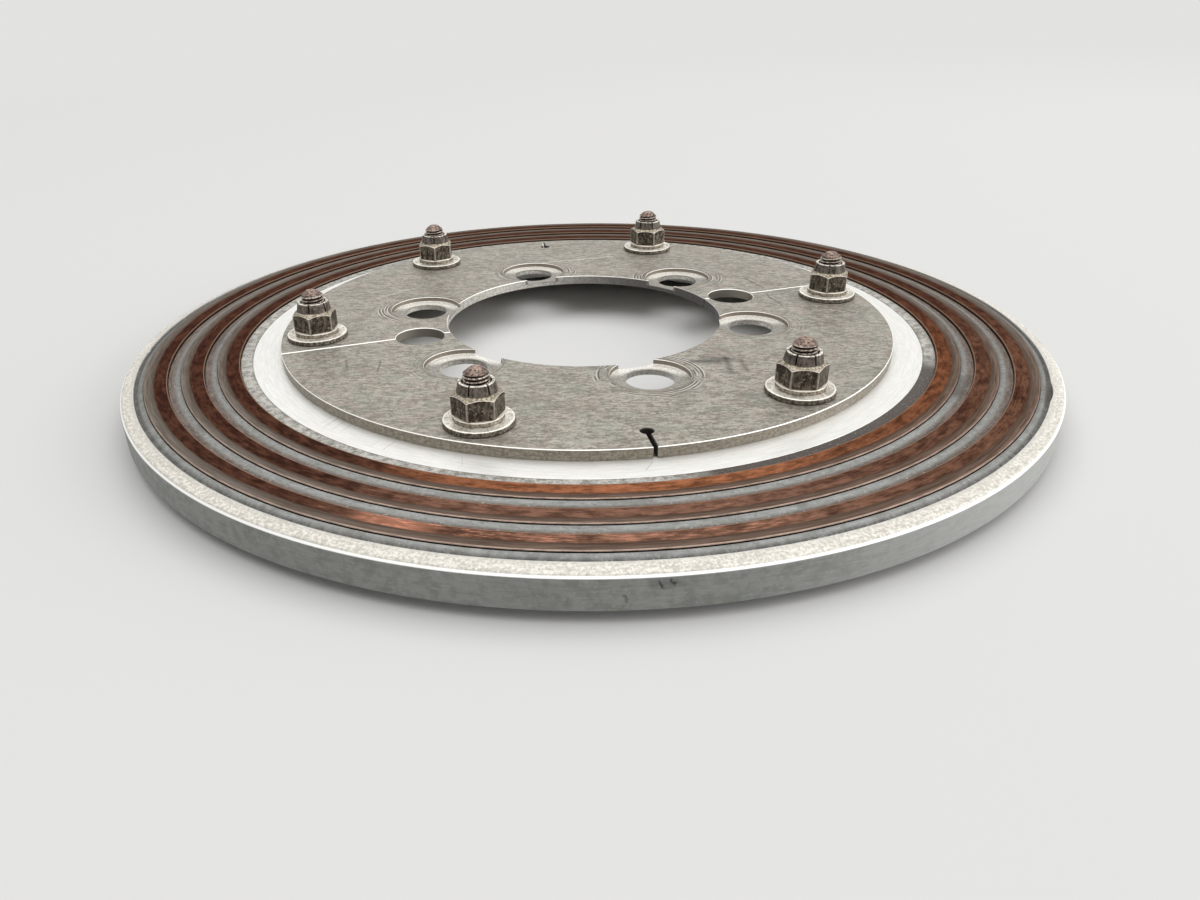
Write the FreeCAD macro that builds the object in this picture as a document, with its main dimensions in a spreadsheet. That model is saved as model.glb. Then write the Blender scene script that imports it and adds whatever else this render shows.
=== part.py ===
"""Propeller de-ice slip ring assembly: three copper rings potted in an aluminium housing, on a split plate.

Millimetres and degrees. Z is the spin axis, with the brush side up. X runs along the split of the plate.
The origin is on the axis, at the ends of the terminal studs, on which the assembly stands.
"""

import FreeCAD, Part
import Sketcher
import math
import os

doc = FreeCAD.newDocument("slip_ring_assembly")

# Driving sizes, each written once. The plate's stud circle sets the radii, which go outwards and inwards
# from it by the named walls, lands and margins.
SIZES = {
    # split mounting plate, which goes on the studs and dowels of the propeller flange
    "stud_circle_dia": 101.6,
    "stud_hole_dia": 13.0,
    "sink_dia": 21.5,
    "sink_deep": 1.5,
    "dowel_hole_dia": 14.29,
    "bore_inset": 9.15,
    "bolt_reach": 29.2,
    "plate_edge": 10.5,
    "plate_thick": 2.9,
    "split_gap": 0.8,
    "keyhole_angle": 80.0,
    "keyhole_inset": 8.2,
    "keyhole_dia": 3.2,
    "saw_wide": 1.0,
    # housing, turned from aluminium
    "stand_off": 3.0,
    "housing_high": 7.8,
    "floor_thick": 2.8,
    "rim_wide": 3.65,
    "lip_rise": 0.9,
    "edge_break_wide": 0.75,
    "edge_break_high": 0.62,
    "boss_margin": 8.0,
    "boss_rise": 0.7,
    "boss_wall": 3.5,
    "flange_inset": 10.15,
    "flange_thick": 5.3,
    # potting, cast in the channel
    "inner_land": 3.5,
    "outer_land": 2.55,
    "chip_angle": -45.7,
    "chip_length": 15.0,
    "chip_width": 1.5,
    "chip_deep": 0.9,
    # copper rings
    "ring_wide": 6.05,
    "ring_gap": 3.5,
    "ring_thick": 3.2,
    "ring_proud": 0.6,
    # plate bolts, washers and lock nuts
    "bolt_angle": -8.0,
    "bolt_dia": 6.35,
    "bolt_gap": 0.25,
    "bolt_show": 3.15,
    "tip_dia": 2.9,
    "tip_high": 1.4,
    "head_flats": 11.11,
    "head_high": 3.97,
    "washer_dia": 17.4,
    "washer_thick": 1.4,
    "washer_gap": 0.4,
    "nut_flats": 11.11,
    "nut_face_dia": 12.4,
    "nut_face_high": 1.25,
    "nut_hex_high": 5.6,
    "nut_gap": 0.04,
    "collar_foot_dia": 9.7,
    "collar_top_dia": 8.7,
    "collar_high": 2.6,
    # terminals under the rings
    "station_count": 3,
    "station_angle": 30.0,
    "terminal_dia": 4.17,
    "terminal_nut_flats": 8.73,
    "terminal_nut_high": 3.2,
    "terminal_nut_turn": 30.0,
    "window_wide": 10.8,
}

# The mounting studs and the plate bolts share one count round the axis: three to each half of the plate.
BOLTS_PER_HALF = 3
BOLT_COUNT = 2 * BOLTS_PER_HALF
NUT_TURNS = [2, -23, 23, 17, 0, -18]  # degrees, as the six nuts were left when tightened
RING_NAMES = ["inner", "middle", "outer"]

sheet = doc.addObject("Spreadsheet::Sheet", "Sizes")
for row, (alias, value) in enumerate(SIZES.items(), start=1):
    sheet.set(f"A{row}", alias)
    sheet.set(f"B{row}", str(value))
    sheet.setAlias(f"B{row}", alias)
doc.recompute()


def number(expression):
    """The value of an expression on the sheet."""
    return float(sheet.evalExpression(expression))


def ring_inside(index):
    """Inner radius of copper ring 0, 1 or 2."""
    return f"{BOSS_EDGE} + Sizes.inner_land + {index} * (Sizes.ring_wide + Sizes.ring_gap)"


def ring_middle(index):
    """Radius of the middle of a copper ring's track, where its terminals stand."""
    return f"{ring_inside(index)} + Sizes.ring_wide / 2"


# Radii from the axis, from the stud circle outwards, and then the two bores.
STUD_RING = "Sizes.stud_circle_dia / 2"
BOLT_RING = f"{STUD_RING} + Sizes.bolt_reach"
PLATE_EDGE = f"{BOLT_RING} + Sizes.plate_edge"
BOSS_EDGE = f"{PLATE_EDGE} + Sizes.boss_margin"
RELIEF_EDGE = f"{BOSS_EDGE} - Sizes.boss_wall"
CHANNEL_EDGE = f"{ring_inside(len(RING_NAMES) - 1)} + Sizes.ring_wide + Sizes.outer_land"
HOUSING_EDGE = f"{CHANNEL_EDGE} + Sizes.rim_wide"
FLANGE_BORE = f"{BOLT_RING} - Sizes.flange_inset"
PLATE_BORE = f"{STUD_RING} - Sizes.bore_inset"

# Levels above the ground.
UNDERSIDE = "Sizes.stand_off"
FLOOR = f"{UNDERSIDE} + Sizes.floor_thick"
RIM = f"{UNDERSIDE} + Sizes.housing_high"
BOSS = f"{RIM} + Sizes.boss_rise"
FLANGE_UNDER = f"{BOSS} - Sizes.flange_thick"
PLATE_TOP = f"{BOSS} + Sizes.plate_thick"
WASHER_TOP = f"{PLATE_TOP} + Sizes.washer_thick"
NUT_HIGH = "Sizes.nut_face_high + Sizes.nut_hex_high + Sizes.collar_high"
LIP = f"{RIM} + Sizes.lip_rise"
RING_TOP = f"{LIP} + Sizes.ring_proud"
RING_UNDER = f"{RING_TOP} - Sizes.ring_thick"


def new_body(label):
    body = doc.addObject("PartDesign::Body", label)
    body.Label = label
    return body


def new_sketch(body, label, plane="XY_Plane", level="0"):
    """A sketch on one of the body's own origin planes, raised to a level."""
    sketch = body.newObject("Sketcher::SketchObject", label)
    origin_plane = [f for f in body.Origin.OriginFeatures if f.Role == plane][0]
    sketch.AttachmentSupport = [(origin_plane, "")]
    sketch.MapMode = "FlatFace"
    sketch.setExpression("AttachmentOffset.Base.z", level)
    return sketch


def hold(sketch, kind, where, expression):
    """Adds a dimension to a sketch and ties it to the sheet."""
    index = sketch.addConstraint(Sketcher.Constraint(kind, *where, number(expression)))
    sketch.setExpression(f"Constraints[{index}]", expression)


def outline(sketch, corners):
    """Closed outline of straight lines; each corner is a pair of expressions."""
    points = [FreeCAD.Vector(number(across), number(up), 0) for across, up in corners]
    for start, end in zip(points, points[1:] + points[:1]):
        sketch.addGeometry(Part.LineSegment(start, end))
    for line in range(len(points)):
        before = (line - 1) % len(points)
        sketch.addConstraint(Sketcher.Constraint("Coincident", before, 2, line, 1))
    for line, (across, up) in enumerate(corners):
        hold(sketch, "DistanceX", (-1, 1, line, 1), across)
        hold(sketch, "DistanceY", (-1, 1, line, 1), up)


def circle(sketch, across, up, radius):
    """Circle with its centre and radius tied to the sheet."""
    centre = FreeCAD.Vector(number(across), number(up), 0)
    index = sketch.addGeometry(Part.Circle(centre, FreeCAD.Vector(0, 0, 1), number(radius)))
    hold(sketch, "DistanceX", (-1, 1, index, 3), across)
    hold(sketch, "DistanceY", (-1, 1, index, 3), up)
    hold(sketch, "Radius", (index,), radius)


def polar(radius, angle, offset="0"):
    """Point at a radius along a line at an angle, and at an offset to the left of that line."""
    turn = f"({angle}) * 1 deg"
    across = f"({radius}) * cos({turn}) - ({offset}) * sin({turn})"
    along = f"({radius}) * sin({turn}) + ({offset}) * cos({turn})"
    return across, along


def strip(sketch, near, far, width, angle):
    """Rectangle of a given width along a radius, between two radii."""
    outline(sketch, [
        polar(near, angle, f"-{width} / 2"),
        polar(near, angle, f"{width} / 2"),
        polar(far, angle, f"{width} / 2"),
        polar(far, angle, f"-{width} / 2"),
    ])


def slot(sketch, near, far, width, angle):
    """Round-ended slot along a radius, between two end centres; its ends stay tangent to its sides."""
    half = number(width) / 2
    turn = math.radians(number(angle))
    along = FreeCAD.Vector(math.cos(turn), math.sin(turn), 0)
    across = FreeCAD.Vector(-along.y, along.x, 0)
    low = along * number(near)
    high = along * number(far)
    sketch.addGeometry(Part.Arc(low + across * half, low - along * half, low - across * half))
    sketch.addGeometry(Part.LineSegment(low - across * half, high - across * half))
    sketch.addGeometry(Part.Arc(high - across * half, high + along * half, high + across * half))
    sketch.addGeometry(Part.LineSegment(high + across * half, low + across * half))
    near_arc, right_side, far_arc, left_side = range(4)
    for before, after in (
        (near_arc, right_side),
        (right_side, far_arc),
        (far_arc, left_side),
        (left_side, near_arc),
    ):
        sketch.addConstraint(Sketcher.Constraint("Tangent", before, 2, after, 1))
    hold(sketch, "Radius", (near_arc,), f"{width} / 2")
    for arc, reach in ((near_arc, near), (far_arc, far)):
        centre_across, centre_along = polar(reach, angle)
        hold(sketch, "DistanceX", (-1, 1, arc, 3), centre_across)
        hold(sketch, "DistanceY", (-1, 1, arc, 3), centre_along)


def revolve(body, label, corners):
    """Turns an outline of (radius, height) corners round the Z axis."""
    sketch = new_sketch(body, f"{label}_profile", "XZ_Plane")
    outline(sketch, corners)
    feature = body.newObject("PartDesign::Revolution", label)
    feature.Profile = sketch
    feature.ReferenceAxis = (sketch, ["V_Axis"])
    feature.Angle = 360
    doc.recompute()
    return feature


def pad(body, sketch, label, length):
    feature = body.newObject("PartDesign::Pad", label)
    feature.Profile = sketch
    feature.setExpression("Length", length)
    doc.recompute()
    return feature


def pocket(body, sketch, label, depth=None, upwards=False):
    """Cuts a sketch through the body, or to a depth; raises an error if nothing was cut."""
    before = body.Shape.Volume
    feature = body.newObject("PartDesign::Pocket", label)
    feature.Profile = sketch
    feature.Reversed = upwards
    if depth:
        feature.setExpression("Length", depth)
    else:
        feature.Type = 1
        feature.Midplane = True
    doc.recompute()
    if not body.Shape.Volume < before - 1e-3:
        raise RuntimeError(f"{label} cuts nothing")
    return feature


def repeat(body, feature, label, count):
    """Repeats a feature evenly round the Z axis."""
    pattern = body.newObject("PartDesign::PolarPattern", label)
    pattern.Originals = [feature]
    pattern.Axis = (feature.Profile[0], ["N_Axis"])
    pattern.Angle = 360
    pattern.setExpression("Occurrences", count)
    body.Tip = pattern
    doc.recompute()
    return pattern


def put(feature, label, radius="0", angle="0", level="0", turn="0"):
    """Names a sub-part and sets it at a radius, an angle and a level, turned about its own axis."""
    across, along = polar(radius, angle)
    feature.Label = label
    feature.setExpression("Placement.Base.x", across)
    feature.setExpression("Placement.Base.y", along)
    feature.setExpression("Placement.Base.z", level)
    feature.setExpression("Placement.Rotation.Angle", f"({angle} + {turn}) * 1 deg")
    return feature


def solid(kind, label, level="0", **sizes):
    """A Part primitive on the Z axis, with its sizes tied to the sheet."""
    feature = doc.addObject(f"Part::{kind}", label)
    for name, expression in sizes.items():
        feature.setExpression(name, expression)
    feature.setExpression("Placement.Base.z", level)
    return feature


def hexagon(label, flats, height, level="0", turn="0"):
    """Hexagonal prism of a given width across flats; unturned, it has a corner on the X axis."""
    feature = solid("Prism", label, level, Circumradius=f"{flats} / sqrt(3)", Height=height)
    feature.Polygon = 6
    feature.setExpression("Placement.Rotation.Angle", f"{turn} * 1 deg")
    return feature


def fuse(label, *pieces):
    feature = doc.addObject("Part::MultiFuse", label)
    feature.Shapes = list(pieces)
    feature.Refine = True
    return feature


def cut(label, base, tool):
    feature = doc.addObject("Part::Cut", label)
    feature.Base = base
    feature.Tool = tool
    return feature


def group(label, pieces):
    """Like fasteners held together as one sub-part of separate solids."""
    feature = doc.addObject("Part::Compound", label)
    feature.Links = pieces
    feature.Label = label
    return feature


def make_housing():
    """Turned ring: a deep channel between a sloping rim and the boss, a bolting flange, a relief beneath."""
    body = new_body("slip_ring_housing")
    broken = "Sizes.edge_break_wide"
    revolve(body, "housing_turning", [
        (HOUSING_EDGE, UNDERSIDE),
        (HOUSING_EDGE, f"{RIM} - Sizes.edge_break_high"),
        (f"{HOUSING_EDGE} - {broken}", f"{RIM} + Sizes.lip_rise * {broken} / Sizes.rim_wide"),
        (CHANNEL_EDGE, LIP),
        (CHANNEL_EDGE, FLOOR),
        (BOSS_EDGE, FLOOR),
        (BOSS_EDGE, BOSS),
        (FLANGE_BORE, BOSS),
        (FLANGE_BORE, FLANGE_UNDER),
        (RELIEF_EDGE, FLANGE_UNDER),
        (RELIEF_EDGE, UNDERSIDE),
    ])
    hole = new_sketch(body, "housing_bolt_hole", level=FLANGE_UNDER)
    circle(hole, *polar(BOLT_RING, "Sizes.bolt_angle"), "(Sizes.bolt_dia + Sizes.bolt_gap) / 2")
    drilled = pocket(body, hole, "housing_bolt_drilling")
    repeat(body, drilled, "housing_bolt_holes", str(BOLT_COUNT))
    window = new_sketch(body, "terminal_window", level=UNDERSIDE)
    slot(window, ring_middle(0), ring_middle(len(RING_NAMES) - 1), "Sizes.window_wide", "Sizes.station_angle")
    opened = pocket(body, window, "terminal_window_cut", "Sizes.floor_thick", upwards=True)
    repeat(body, opened, "terminal_windows", "Sizes.station_count")
    return body


def make_potting():
    """Casting that fills the channel, with a seat for each ring, holes for the studs and a chipped edge."""
    body = new_body("insulating_potting")
    seats = []
    for index in range(len(RING_NAMES)):
        inside = ring_inside(index)
        outside = f"{inside} + Sizes.ring_wide"
        seats += [(inside, LIP), (inside, RING_UNDER), (outside, RING_UNDER), (outside, LIP)]
    revolve(body, "potting_casting", [
        (CHANNEL_EDGE, FLOOR),
        (BOSS_EDGE, FLOOR),
        (BOSS_EDGE, BOSS),
        *seats,
        (CHANNEL_EDGE, LIP),
    ])
    studs = new_sketch(body, "stud_holes", level=FLOOR)
    for index in range(len(RING_NAMES)):
        circle(studs, *polar(ring_middle(index), "Sizes.station_angle"), "Sizes.terminal_dia / 2")
    drilled = pocket(body, studs, "stud_drilling", f"{RING_UNDER} - ({FLOOR})", upwards=True)
    repeat(body, drilled, "stud_drillings", "Sizes.station_count")
    chip = new_sketch(body, "edge_chip", level=LIP)
    inside = f"{CHANNEL_EDGE} - Sizes.chip_width"
    strip(chip, inside, HOUSING_EDGE, "Sizes.chip_length", "Sizes.chip_angle")
    pocket(body, chip, "chipped_edge", "Sizes.chip_deep")
    return body


def make_ring(index):
    """One copper ring of rectangular section."""
    label = f"{RING_NAMES[index]}_slip_ring"
    body = new_body(label)
    inside = ring_inside(index)
    outside = f"{inside} + Sizes.ring_wide"
    revolve(body, f"{label}_turning", [
        (inside, RING_UNDER),
        (outside, RING_UNDER),
        (outside, RING_TOP),
        (inside, RING_TOP),
    ])
    return body


def make_plate_half(label, turn):
    """Half of the split mounting plate, drawn on the +Y side and turned to its place."""
    body = new_body(label)
    blank = new_sketch(body, f"{label}_blank", level=BOSS)
    circle(blank, "0", "0", PLATE_EDGE)
    circle(blank, "0", "0", PLATE_BORE)
    pad(body, blank, f"{label}_disc", "Sizes.plate_thick")

    split = new_sketch(body, f"{label}_split", level=BOSS)
    strip(split, "-Sizes.split_gap / 2", BOSS_EDGE, f"4 * ({BOSS_EDGE})", "-90")
    pocket(body, split, f"{label}_parting")

    stud_holes = new_sketch(body, f"{label}_stud_holes", level=BOSS)
    sinks = new_sketch(body, f"{label}_sinks", level=PLATE_TOP)
    bolt_holes = new_sketch(body, f"{label}_bolt_holes", level=BOSS)
    for place in range(BOLTS_PER_HALF):
        stud = polar(STUD_RING, f"({place} + 0.5) * 180 / {BOLTS_PER_HALF}")
        circle(stud_holes, *stud, "Sizes.stud_hole_dia / 2")
        circle(sinks, *stud, "Sizes.sink_dia / 2")
        bolt = polar(BOLT_RING, bolt_place(place + 1))
        circle(bolt_holes, *bolt, "(Sizes.bolt_dia + Sizes.bolt_gap) / 2")
    pocket(body, sinks, f"{label}_sinking", "Sizes.sink_deep")
    pocket(body, stud_holes, f"{label}_stud_drilling")
    pocket(body, bolt_holes, f"{label}_bolt_drilling")

    dowels = new_sketch(body, f"{label}_dowel_holes", level=BOSS)
    for angle in ("0", "180"):
        circle(dowels, *polar(STUD_RING, angle), "Sizes.dowel_hole_dia / 2")
    pocket(body, dowels, f"{label}_dowel_drilling")

    keyhole_ring = f"{PLATE_EDGE} - Sizes.keyhole_inset"
    keyhole = new_sketch(body, f"{label}_keyhole", level=BOSS)
    circle(keyhole, *polar(keyhole_ring, "Sizes.keyhole_angle"), "Sizes.keyhole_dia / 2")
    pocket(body, keyhole, f"{label}_keyhole_drilling")
    saw = new_sketch(body, f"{label}_saw_cut", level=BOSS)
    strip(saw, keyhole_ring, BOSS_EDGE, "Sizes.saw_wide", "Sizes.keyhole_angle")
    pocket(body, saw, f"{label}_sawing")
    return put(body, label, angle=turn)


def bolt_place(place):
    """Angle of plate bolt 0 to 5 from the split line."""
    return f"Sizes.bolt_angle + {place} * 180 / {BOLTS_PER_HALF}"


def make_bolt(place):
    """Hexagon-headed bolt, head under the flange, with a chamfered end that shows above the nut."""
    label = f"plate_bolt_{place + 1}"
    shank_high = f"{WASHER_TOP} + {NUT_HIGH} + Sizes.bolt_show - Sizes.tip_high - ({FLANGE_UNDER})"
    head = hexagon(f"{label}_head", "Sizes.head_flats", "Sizes.head_high", "-Sizes.head_high")
    shank = solid("Cylinder", f"{label}_shank", Radius="Sizes.bolt_dia / 2", Height=shank_high)
    tip = solid(
        "Cone",
        f"{label}_tip",
        shank_high,
        Radius1="Sizes.bolt_dia / 2",
        Radius2="Sizes.tip_dia / 2",
        Height="Sizes.tip_high",
    )
    bolt = fuse(label, head, shank, tip)
    return put(bolt, label, BOLT_RING, bolt_place(place), FLANGE_UNDER)


def make_washer(place):
    """Flat washer under a lock nut."""
    label = f"nut_washer_{place + 1}"
    hole_radius = "(Sizes.bolt_dia + Sizes.washer_gap) / 2"
    disc = solid("Cylinder", f"{label}_disc", Radius="Sizes.washer_dia / 2", Height="Sizes.washer_thick")
    hole = solid("Cylinder", f"{label}_hole", Radius=hole_radius, Height="Sizes.washer_thick")
    return put(cut(label, disc, hole), label, BOLT_RING, bolt_place(place), PLATE_TOP)


def make_lock_nut(place):
    """All-metal lock nut: a round bearing face, a hexagon and a slightly conical locking collar."""
    label = f"lock_nut_{place + 1}"
    hex_level = "Sizes.nut_face_high"
    face = solid("Cylinder", f"{label}_face", Radius="Sizes.nut_face_dia / 2", Height=hex_level)
    prism = hexagon(f"{label}_hexagon", "Sizes.nut_flats", "Sizes.nut_hex_high", hex_level)
    collar = solid(
        "Cone",
        f"{label}_collar",
        f"{hex_level} + Sizes.nut_hex_high",
        Radius1="Sizes.collar_foot_dia / 2",
        Radius2="Sizes.collar_top_dia / 2",
        Height="Sizes.collar_high",
    )
    outside = fuse(f"{label}_outside", face, prism, collar)
    bore = solid("Cylinder", f"{label}_bore", Radius="(Sizes.bolt_dia + Sizes.nut_gap) / 2", Height=NUT_HIGH)
    nut = cut(label, outside, bore)
    return put(nut, label, BOLT_RING, bolt_place(place), WASHER_TOP, str(NUT_TURNS[place]))


def make_terminal(index, station):
    """Stud brazed under a copper ring, down through the potting and the window, with the nut of its lead."""
    label = f"{RING_NAMES[index]}_terminal_{station + 1}"
    nut_level = f"{FLOOR} - Sizes.terminal_nut_high"
    place = f"Sizes.station_angle + {station} * 360 / Sizes.station_count"
    stud = solid("Cylinder", f"{label}_stud", Radius="Sizes.terminal_dia / 2", Height=RING_UNDER)
    nut_high = "Sizes.terminal_nut_high"
    nut = hexagon(f"{label}_nut", "Sizes.terminal_nut_flats", nut_high, nut_level, "Sizes.terminal_nut_turn")
    return put(fuse(label, stud, nut), label, ring_middle(index), place)


def make_parts():
    """Every sub-part of the assembly, from the housing outwards."""
    parts = [make_housing(), make_potting()]
    for index in range(len(RING_NAMES)):
        parts.append(make_ring(index))
    parts.append(make_plate_half("near_plate_half", "180"))
    parts.append(make_plate_half("far_plate_half", "0"))
    for place in range(BOLT_COUNT):
        parts.append(make_bolt(place))
    for place in range(BOLT_COUNT):
        parts.append(make_lock_nut(place))
    parts.append(group("nut_washers", [make_washer(place) for place in range(BOLT_COUNT)]))
    stations = range(int(number("Sizes.station_count")))
    for index, name in enumerate(RING_NAMES):
        terminals = [make_terminal(index, station) for station in stations]
        parts.append(group(f"{name}_ring_terminals", terminals))
    return parts


def check(parts):
    """Stops the build if a feature failed or a sub-part isn't a valid solid."""
    for feature in doc.Objects:
        if {"Invalid", "Error"} & set(feature.State):
            raise RuntimeError(f"{feature.Label} failed: {feature.State}")
    for part in parts:
        if part.Shape.isNull() or not part.Shape.isValid() or not part.Shape.Solids:
            raise RuntimeError(f"{part.Label} is not a valid solid")


assembly = make_parts()
doc.recompute()
check(assembly)
os.makedirs("parts", exist_ok=True)
for part in assembly:
    part.Shape.exportStep(f"parts/{part.Label}.step")
    print(f"{part.Label}: {len(part.Shape.Solids)} solid(s), {part.Shape.Volume:.0f} cubic millimetres")
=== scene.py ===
import math

import bmesh
import bpy
import numpy as np
from mathutils import Matrix, Vector
from mathutils.geometry import tessellate_polygon


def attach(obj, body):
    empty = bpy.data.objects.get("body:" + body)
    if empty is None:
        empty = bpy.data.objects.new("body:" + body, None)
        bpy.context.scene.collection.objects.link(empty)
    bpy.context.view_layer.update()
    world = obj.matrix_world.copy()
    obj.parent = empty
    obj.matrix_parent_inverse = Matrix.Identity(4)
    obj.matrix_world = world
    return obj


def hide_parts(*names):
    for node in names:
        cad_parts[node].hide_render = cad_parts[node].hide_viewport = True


# Rotor of a propeller de-icing set: three copper rings potted in a turned aluminium housing, on a split
# plate. Sizes are in millimetres, and the angles of materials and named values in degrees. Z is the spin
# axis with the brush side up, X runs along the split of the plate, and the assembly stands on the ends of its
# terminal studs.
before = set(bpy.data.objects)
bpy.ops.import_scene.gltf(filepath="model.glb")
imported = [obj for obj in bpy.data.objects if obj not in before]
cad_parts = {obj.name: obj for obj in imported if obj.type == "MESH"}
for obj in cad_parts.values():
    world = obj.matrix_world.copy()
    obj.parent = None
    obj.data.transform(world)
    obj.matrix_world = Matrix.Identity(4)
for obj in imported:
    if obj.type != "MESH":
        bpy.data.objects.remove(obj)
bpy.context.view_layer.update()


# Housing: one ring of aluminium, turned all over. The channel in its face holds the potting and the rings,
# and the flange inside takes the plate bolts. The wall and rim are blasted dull, with the wall painted
# lighter on its right side as painted light. The rim's edge is bright from the tool and painted near white as
# a highlight, the boss is bright from the tool, and three windows are milled through the channel's floor for
# the terminals.
MM = 0.001
HOUSING_RADIUS = 133.35
LIP_RADIUS = 129.7
BOSS_RADIUS = 98.5
RELIEF_RADIUS = 95.0
FLANGE_BORE_RADIUS = 69.85
UNDERSIDE = 3.0
FLOOR = 5.8
FLANGE_UNDER = 6.2
RIM = 10.8
BOSS = 11.5
LIP = 11.7
EDGE_BREAK_HIGH = 0.62
EDGE_BREAK_WIDE = 0.75
RIM_SLOPE = (LIP - RIM) / (HOUSING_RADIUS - LIP_RADIUS)
BOLT_RING = 80.0
FIRST_BOLT = -8.0
BOLT_ANGLES = np.radians(FIRST_BOLT + 60.0 * np.arange(6))
BOLT_HOLE_RADIUS = 3.3
STATION_ANGLES = np.radians(30.0 + 120.0 * np.arange(3))
WINDOW_WIDE = 10.8
RING_INSIDES = np.array([102.0, 111.55, 121.1])
RING_WIDE = 6.05
CHIP_ANGLE = -45.7
CHIP_REACH = 3.3
MERGED_WITHIN = 0.0005
FRONT = -110.2  # the side nearest the camera


def full_turn(count):
    """A row of angles, in radians, that divide one turn evenly."""
    return np.linspace(0, 2 * math.pi, count, endpoint=False)[None, :]


def on_circle(radius, angle):
    """The place (r cos a, r sin a)."""
    return np.array([radius * math.cos(angle), radius * math.sin(angle)])


def turned_flat(outline, angle):
    """A flat outline turned about the axis: (x cos a - y sin a, x sin a + y cos a)."""
    return outline @ np.array([[math.cos(angle), math.sin(angle)], [-math.sin(angle), math.cos(angle)]])


def corner_numbers(rows, columns, closed):
    """Faces of a grid of points whose columns go round: each joins a point to the next column and row."""
    numbers = np.arange(rows * columns).reshape(rows, columns)
    if closed:
        numbers = np.vstack([numbers, numbers[:1]])
    numbers = np.hstack([numbers, numbers[:, :1]])
    corners = [numbers[:-1, :-1], numbers[:-1, 1:], numbers[1:, 1:], numbers[1:, :-1]]
    return np.stack(corners, axis=-1).reshape(-1, 4)


def put_in_scene(name, data):
    """A new object for a mesh, a lamp or a camera."""
    thing = bpy.data.objects.new(name, data)
    bpy.context.scene.collection.objects.link(thing)
    return thing


def mesh_piece(name, rows, faces):
    """A piece from rows of points in millimetres, numbered on from row to row, and faces."""
    mesh = bpy.data.meshes.new(name)
    mesh.from_pydata((np.vstack(rows) * MM).tolist(), [], faces)
    return put_in_scene(name, mesh)


def grid_piece(name, points, closed):
    """A piece from a grid of points whose columns go round; points that lie in one place become one."""
    piece = mesh_piece(name, points, corner_numbers(*points.shape[:2], closed).tolist())
    shape = bmesh.new()
    shape.from_mesh(piece.data)
    bmesh.ops.remove_doubles(shape, verts=shape.verts, dist=MERGED_WITHIN * MM)
    shape.to_mesh(piece.data)
    shape.free()
    return piece


def eased(corners, steps=3):
    """Profile of (radius, height, ease) corners; each turns along a parabola that starts at its ease."""
    corners = np.asarray(corners, float)
    point = corners[:, None, :2]
    ease = corners[:, None, 2:]
    before = np.roll(corners, 1, axis=0)[:, None, :2] - point
    after = np.roll(corners, -1, axis=0)[:, None, :2] - point
    start = point + before / np.linalg.norm(before, axis=2, keepdims=True) * ease
    end = point + after / np.linalg.norm(after, axis=2, keepdims=True) * ease
    t = np.linspace(0, 1, steps + 1)[None, :, None]
    return ((1 - t) ** 2 * start + 2 * t * (1 - t) * point + t**2 * end).reshape(-1, 2)


def spread_round(profile, angle):
    """Radius and height at each angle, from (radius, height) pairs of numbers or of blocks of rows."""
    return [np.vstack([value + 0 * angle for value in column]) for column in zip(*profile)]


def carried_round(name, profile, angle, closed=True, at=(0, 0)):
    """A profile carried round an upright axis: its points are (r cos a, r sin a, z). A closed profile comes
    back to its start, and another one starts and ends on the axis."""
    radius, height = spread_round(profile, angle)
    points = np.stack([radius * np.cos(angle), radius * np.sin(angle), height], axis=-1)
    return grid_piece(name, points + np.array([*at, 0.0]), closed)


def points_of(piece):
    """The points of a piece in millimetres."""
    points = np.zeros(len(piece.data.vertices) * 3)
    piece.data.vertices.foreach_get("co", points)
    return points.reshape(-1, 3) / MM


def joined(name, pieces):
    """One piece from several, which are used up."""
    points = []
    faces = []
    for piece in pieces:
        shift = sum(len(block) for block in points)
        points.append(points_of(piece))
        faces += [[corner + shift for corner in face.vertices] for face in piece.data.polygons]
        bpy.data.objects.remove(piece)
    return mesh_piece(name, points, faces)


def cut_away(piece, cutters):
    """Takes the volume of the cutters out of a piece, and uses them up."""
    tool = joined("cutters", cutters)
    change = piece.modifiers.new("cut", "BOOLEAN")
    change.operation = "DIFFERENCE"
    change.solver = "EXACT"
    change.object = tool
    graph = bpy.context.evaluated_depsgraph_get()
    mesh = bpy.data.meshes.new_from_object(piece.evaluated_get(graph))
    piece.modifiers.clear()
    piece.data = mesh
    mesh.name = piece.name
    bpy.data.objects.remove(tool)


def smooth(piece, sharpest=32):
    """Smooth shading up to an edge angle, with the large faces kept flat."""
    piece.data.shade_smooth()
    piece.data.set_sharp_from_angle(angle=math.radians(sharpest))
    flat = piece.modifiers.new("flat faces", "WEIGHTED_NORMAL")
    flat.keep_sharp = True


def column_cutter(at, low, high, radius, columns=64):
    """A round cutter that stands at a place, from one level to another."""
    profile = [(0, low), (radius, low), (radius, high), (0, high)]
    return carried_round("cutter", profile, full_turn(columns), False, at)


def raised_cutter(outline, low, high):
    """A flat outline raised from one level to another, with both ends filled from its middle."""
    centre = outline.mean(axis=0, keepdims=True).repeat(len(outline), axis=0)
    rows = [(centre, low), (outline, low), (outline, high), (centre, high)]
    points = np.stack([np.column_stack([flat, np.full(len(flat), level)]) for flat, level in rows])
    return grid_piece("cutter", points, False)


def slot_outline(near, far, wide, angle):
    """A round-ended slot along a radius: two half circles joined."""
    half = np.linspace(-math.pi / 2, math.pi / 2, 25)
    run = np.concatenate([far + wide / 2 * np.cos(half), near - wide / 2 * np.cos(half)])
    side = np.concatenate([wide / 2 * np.sin(half), -wide / 2 * np.sin(half)])
    return turned_flat(np.stack([run, side], axis=-1), angle)


def falloff(angle, centre, reach):
    """1 at a centre angle in degrees, falling smoothly to 0 at a reach on each side."""
    away = (np.degrees(angle) - centre + 180) % 360 - 180
    return np.clip(1 - (away / reach) ** 2, 0, 1) ** 2


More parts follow.
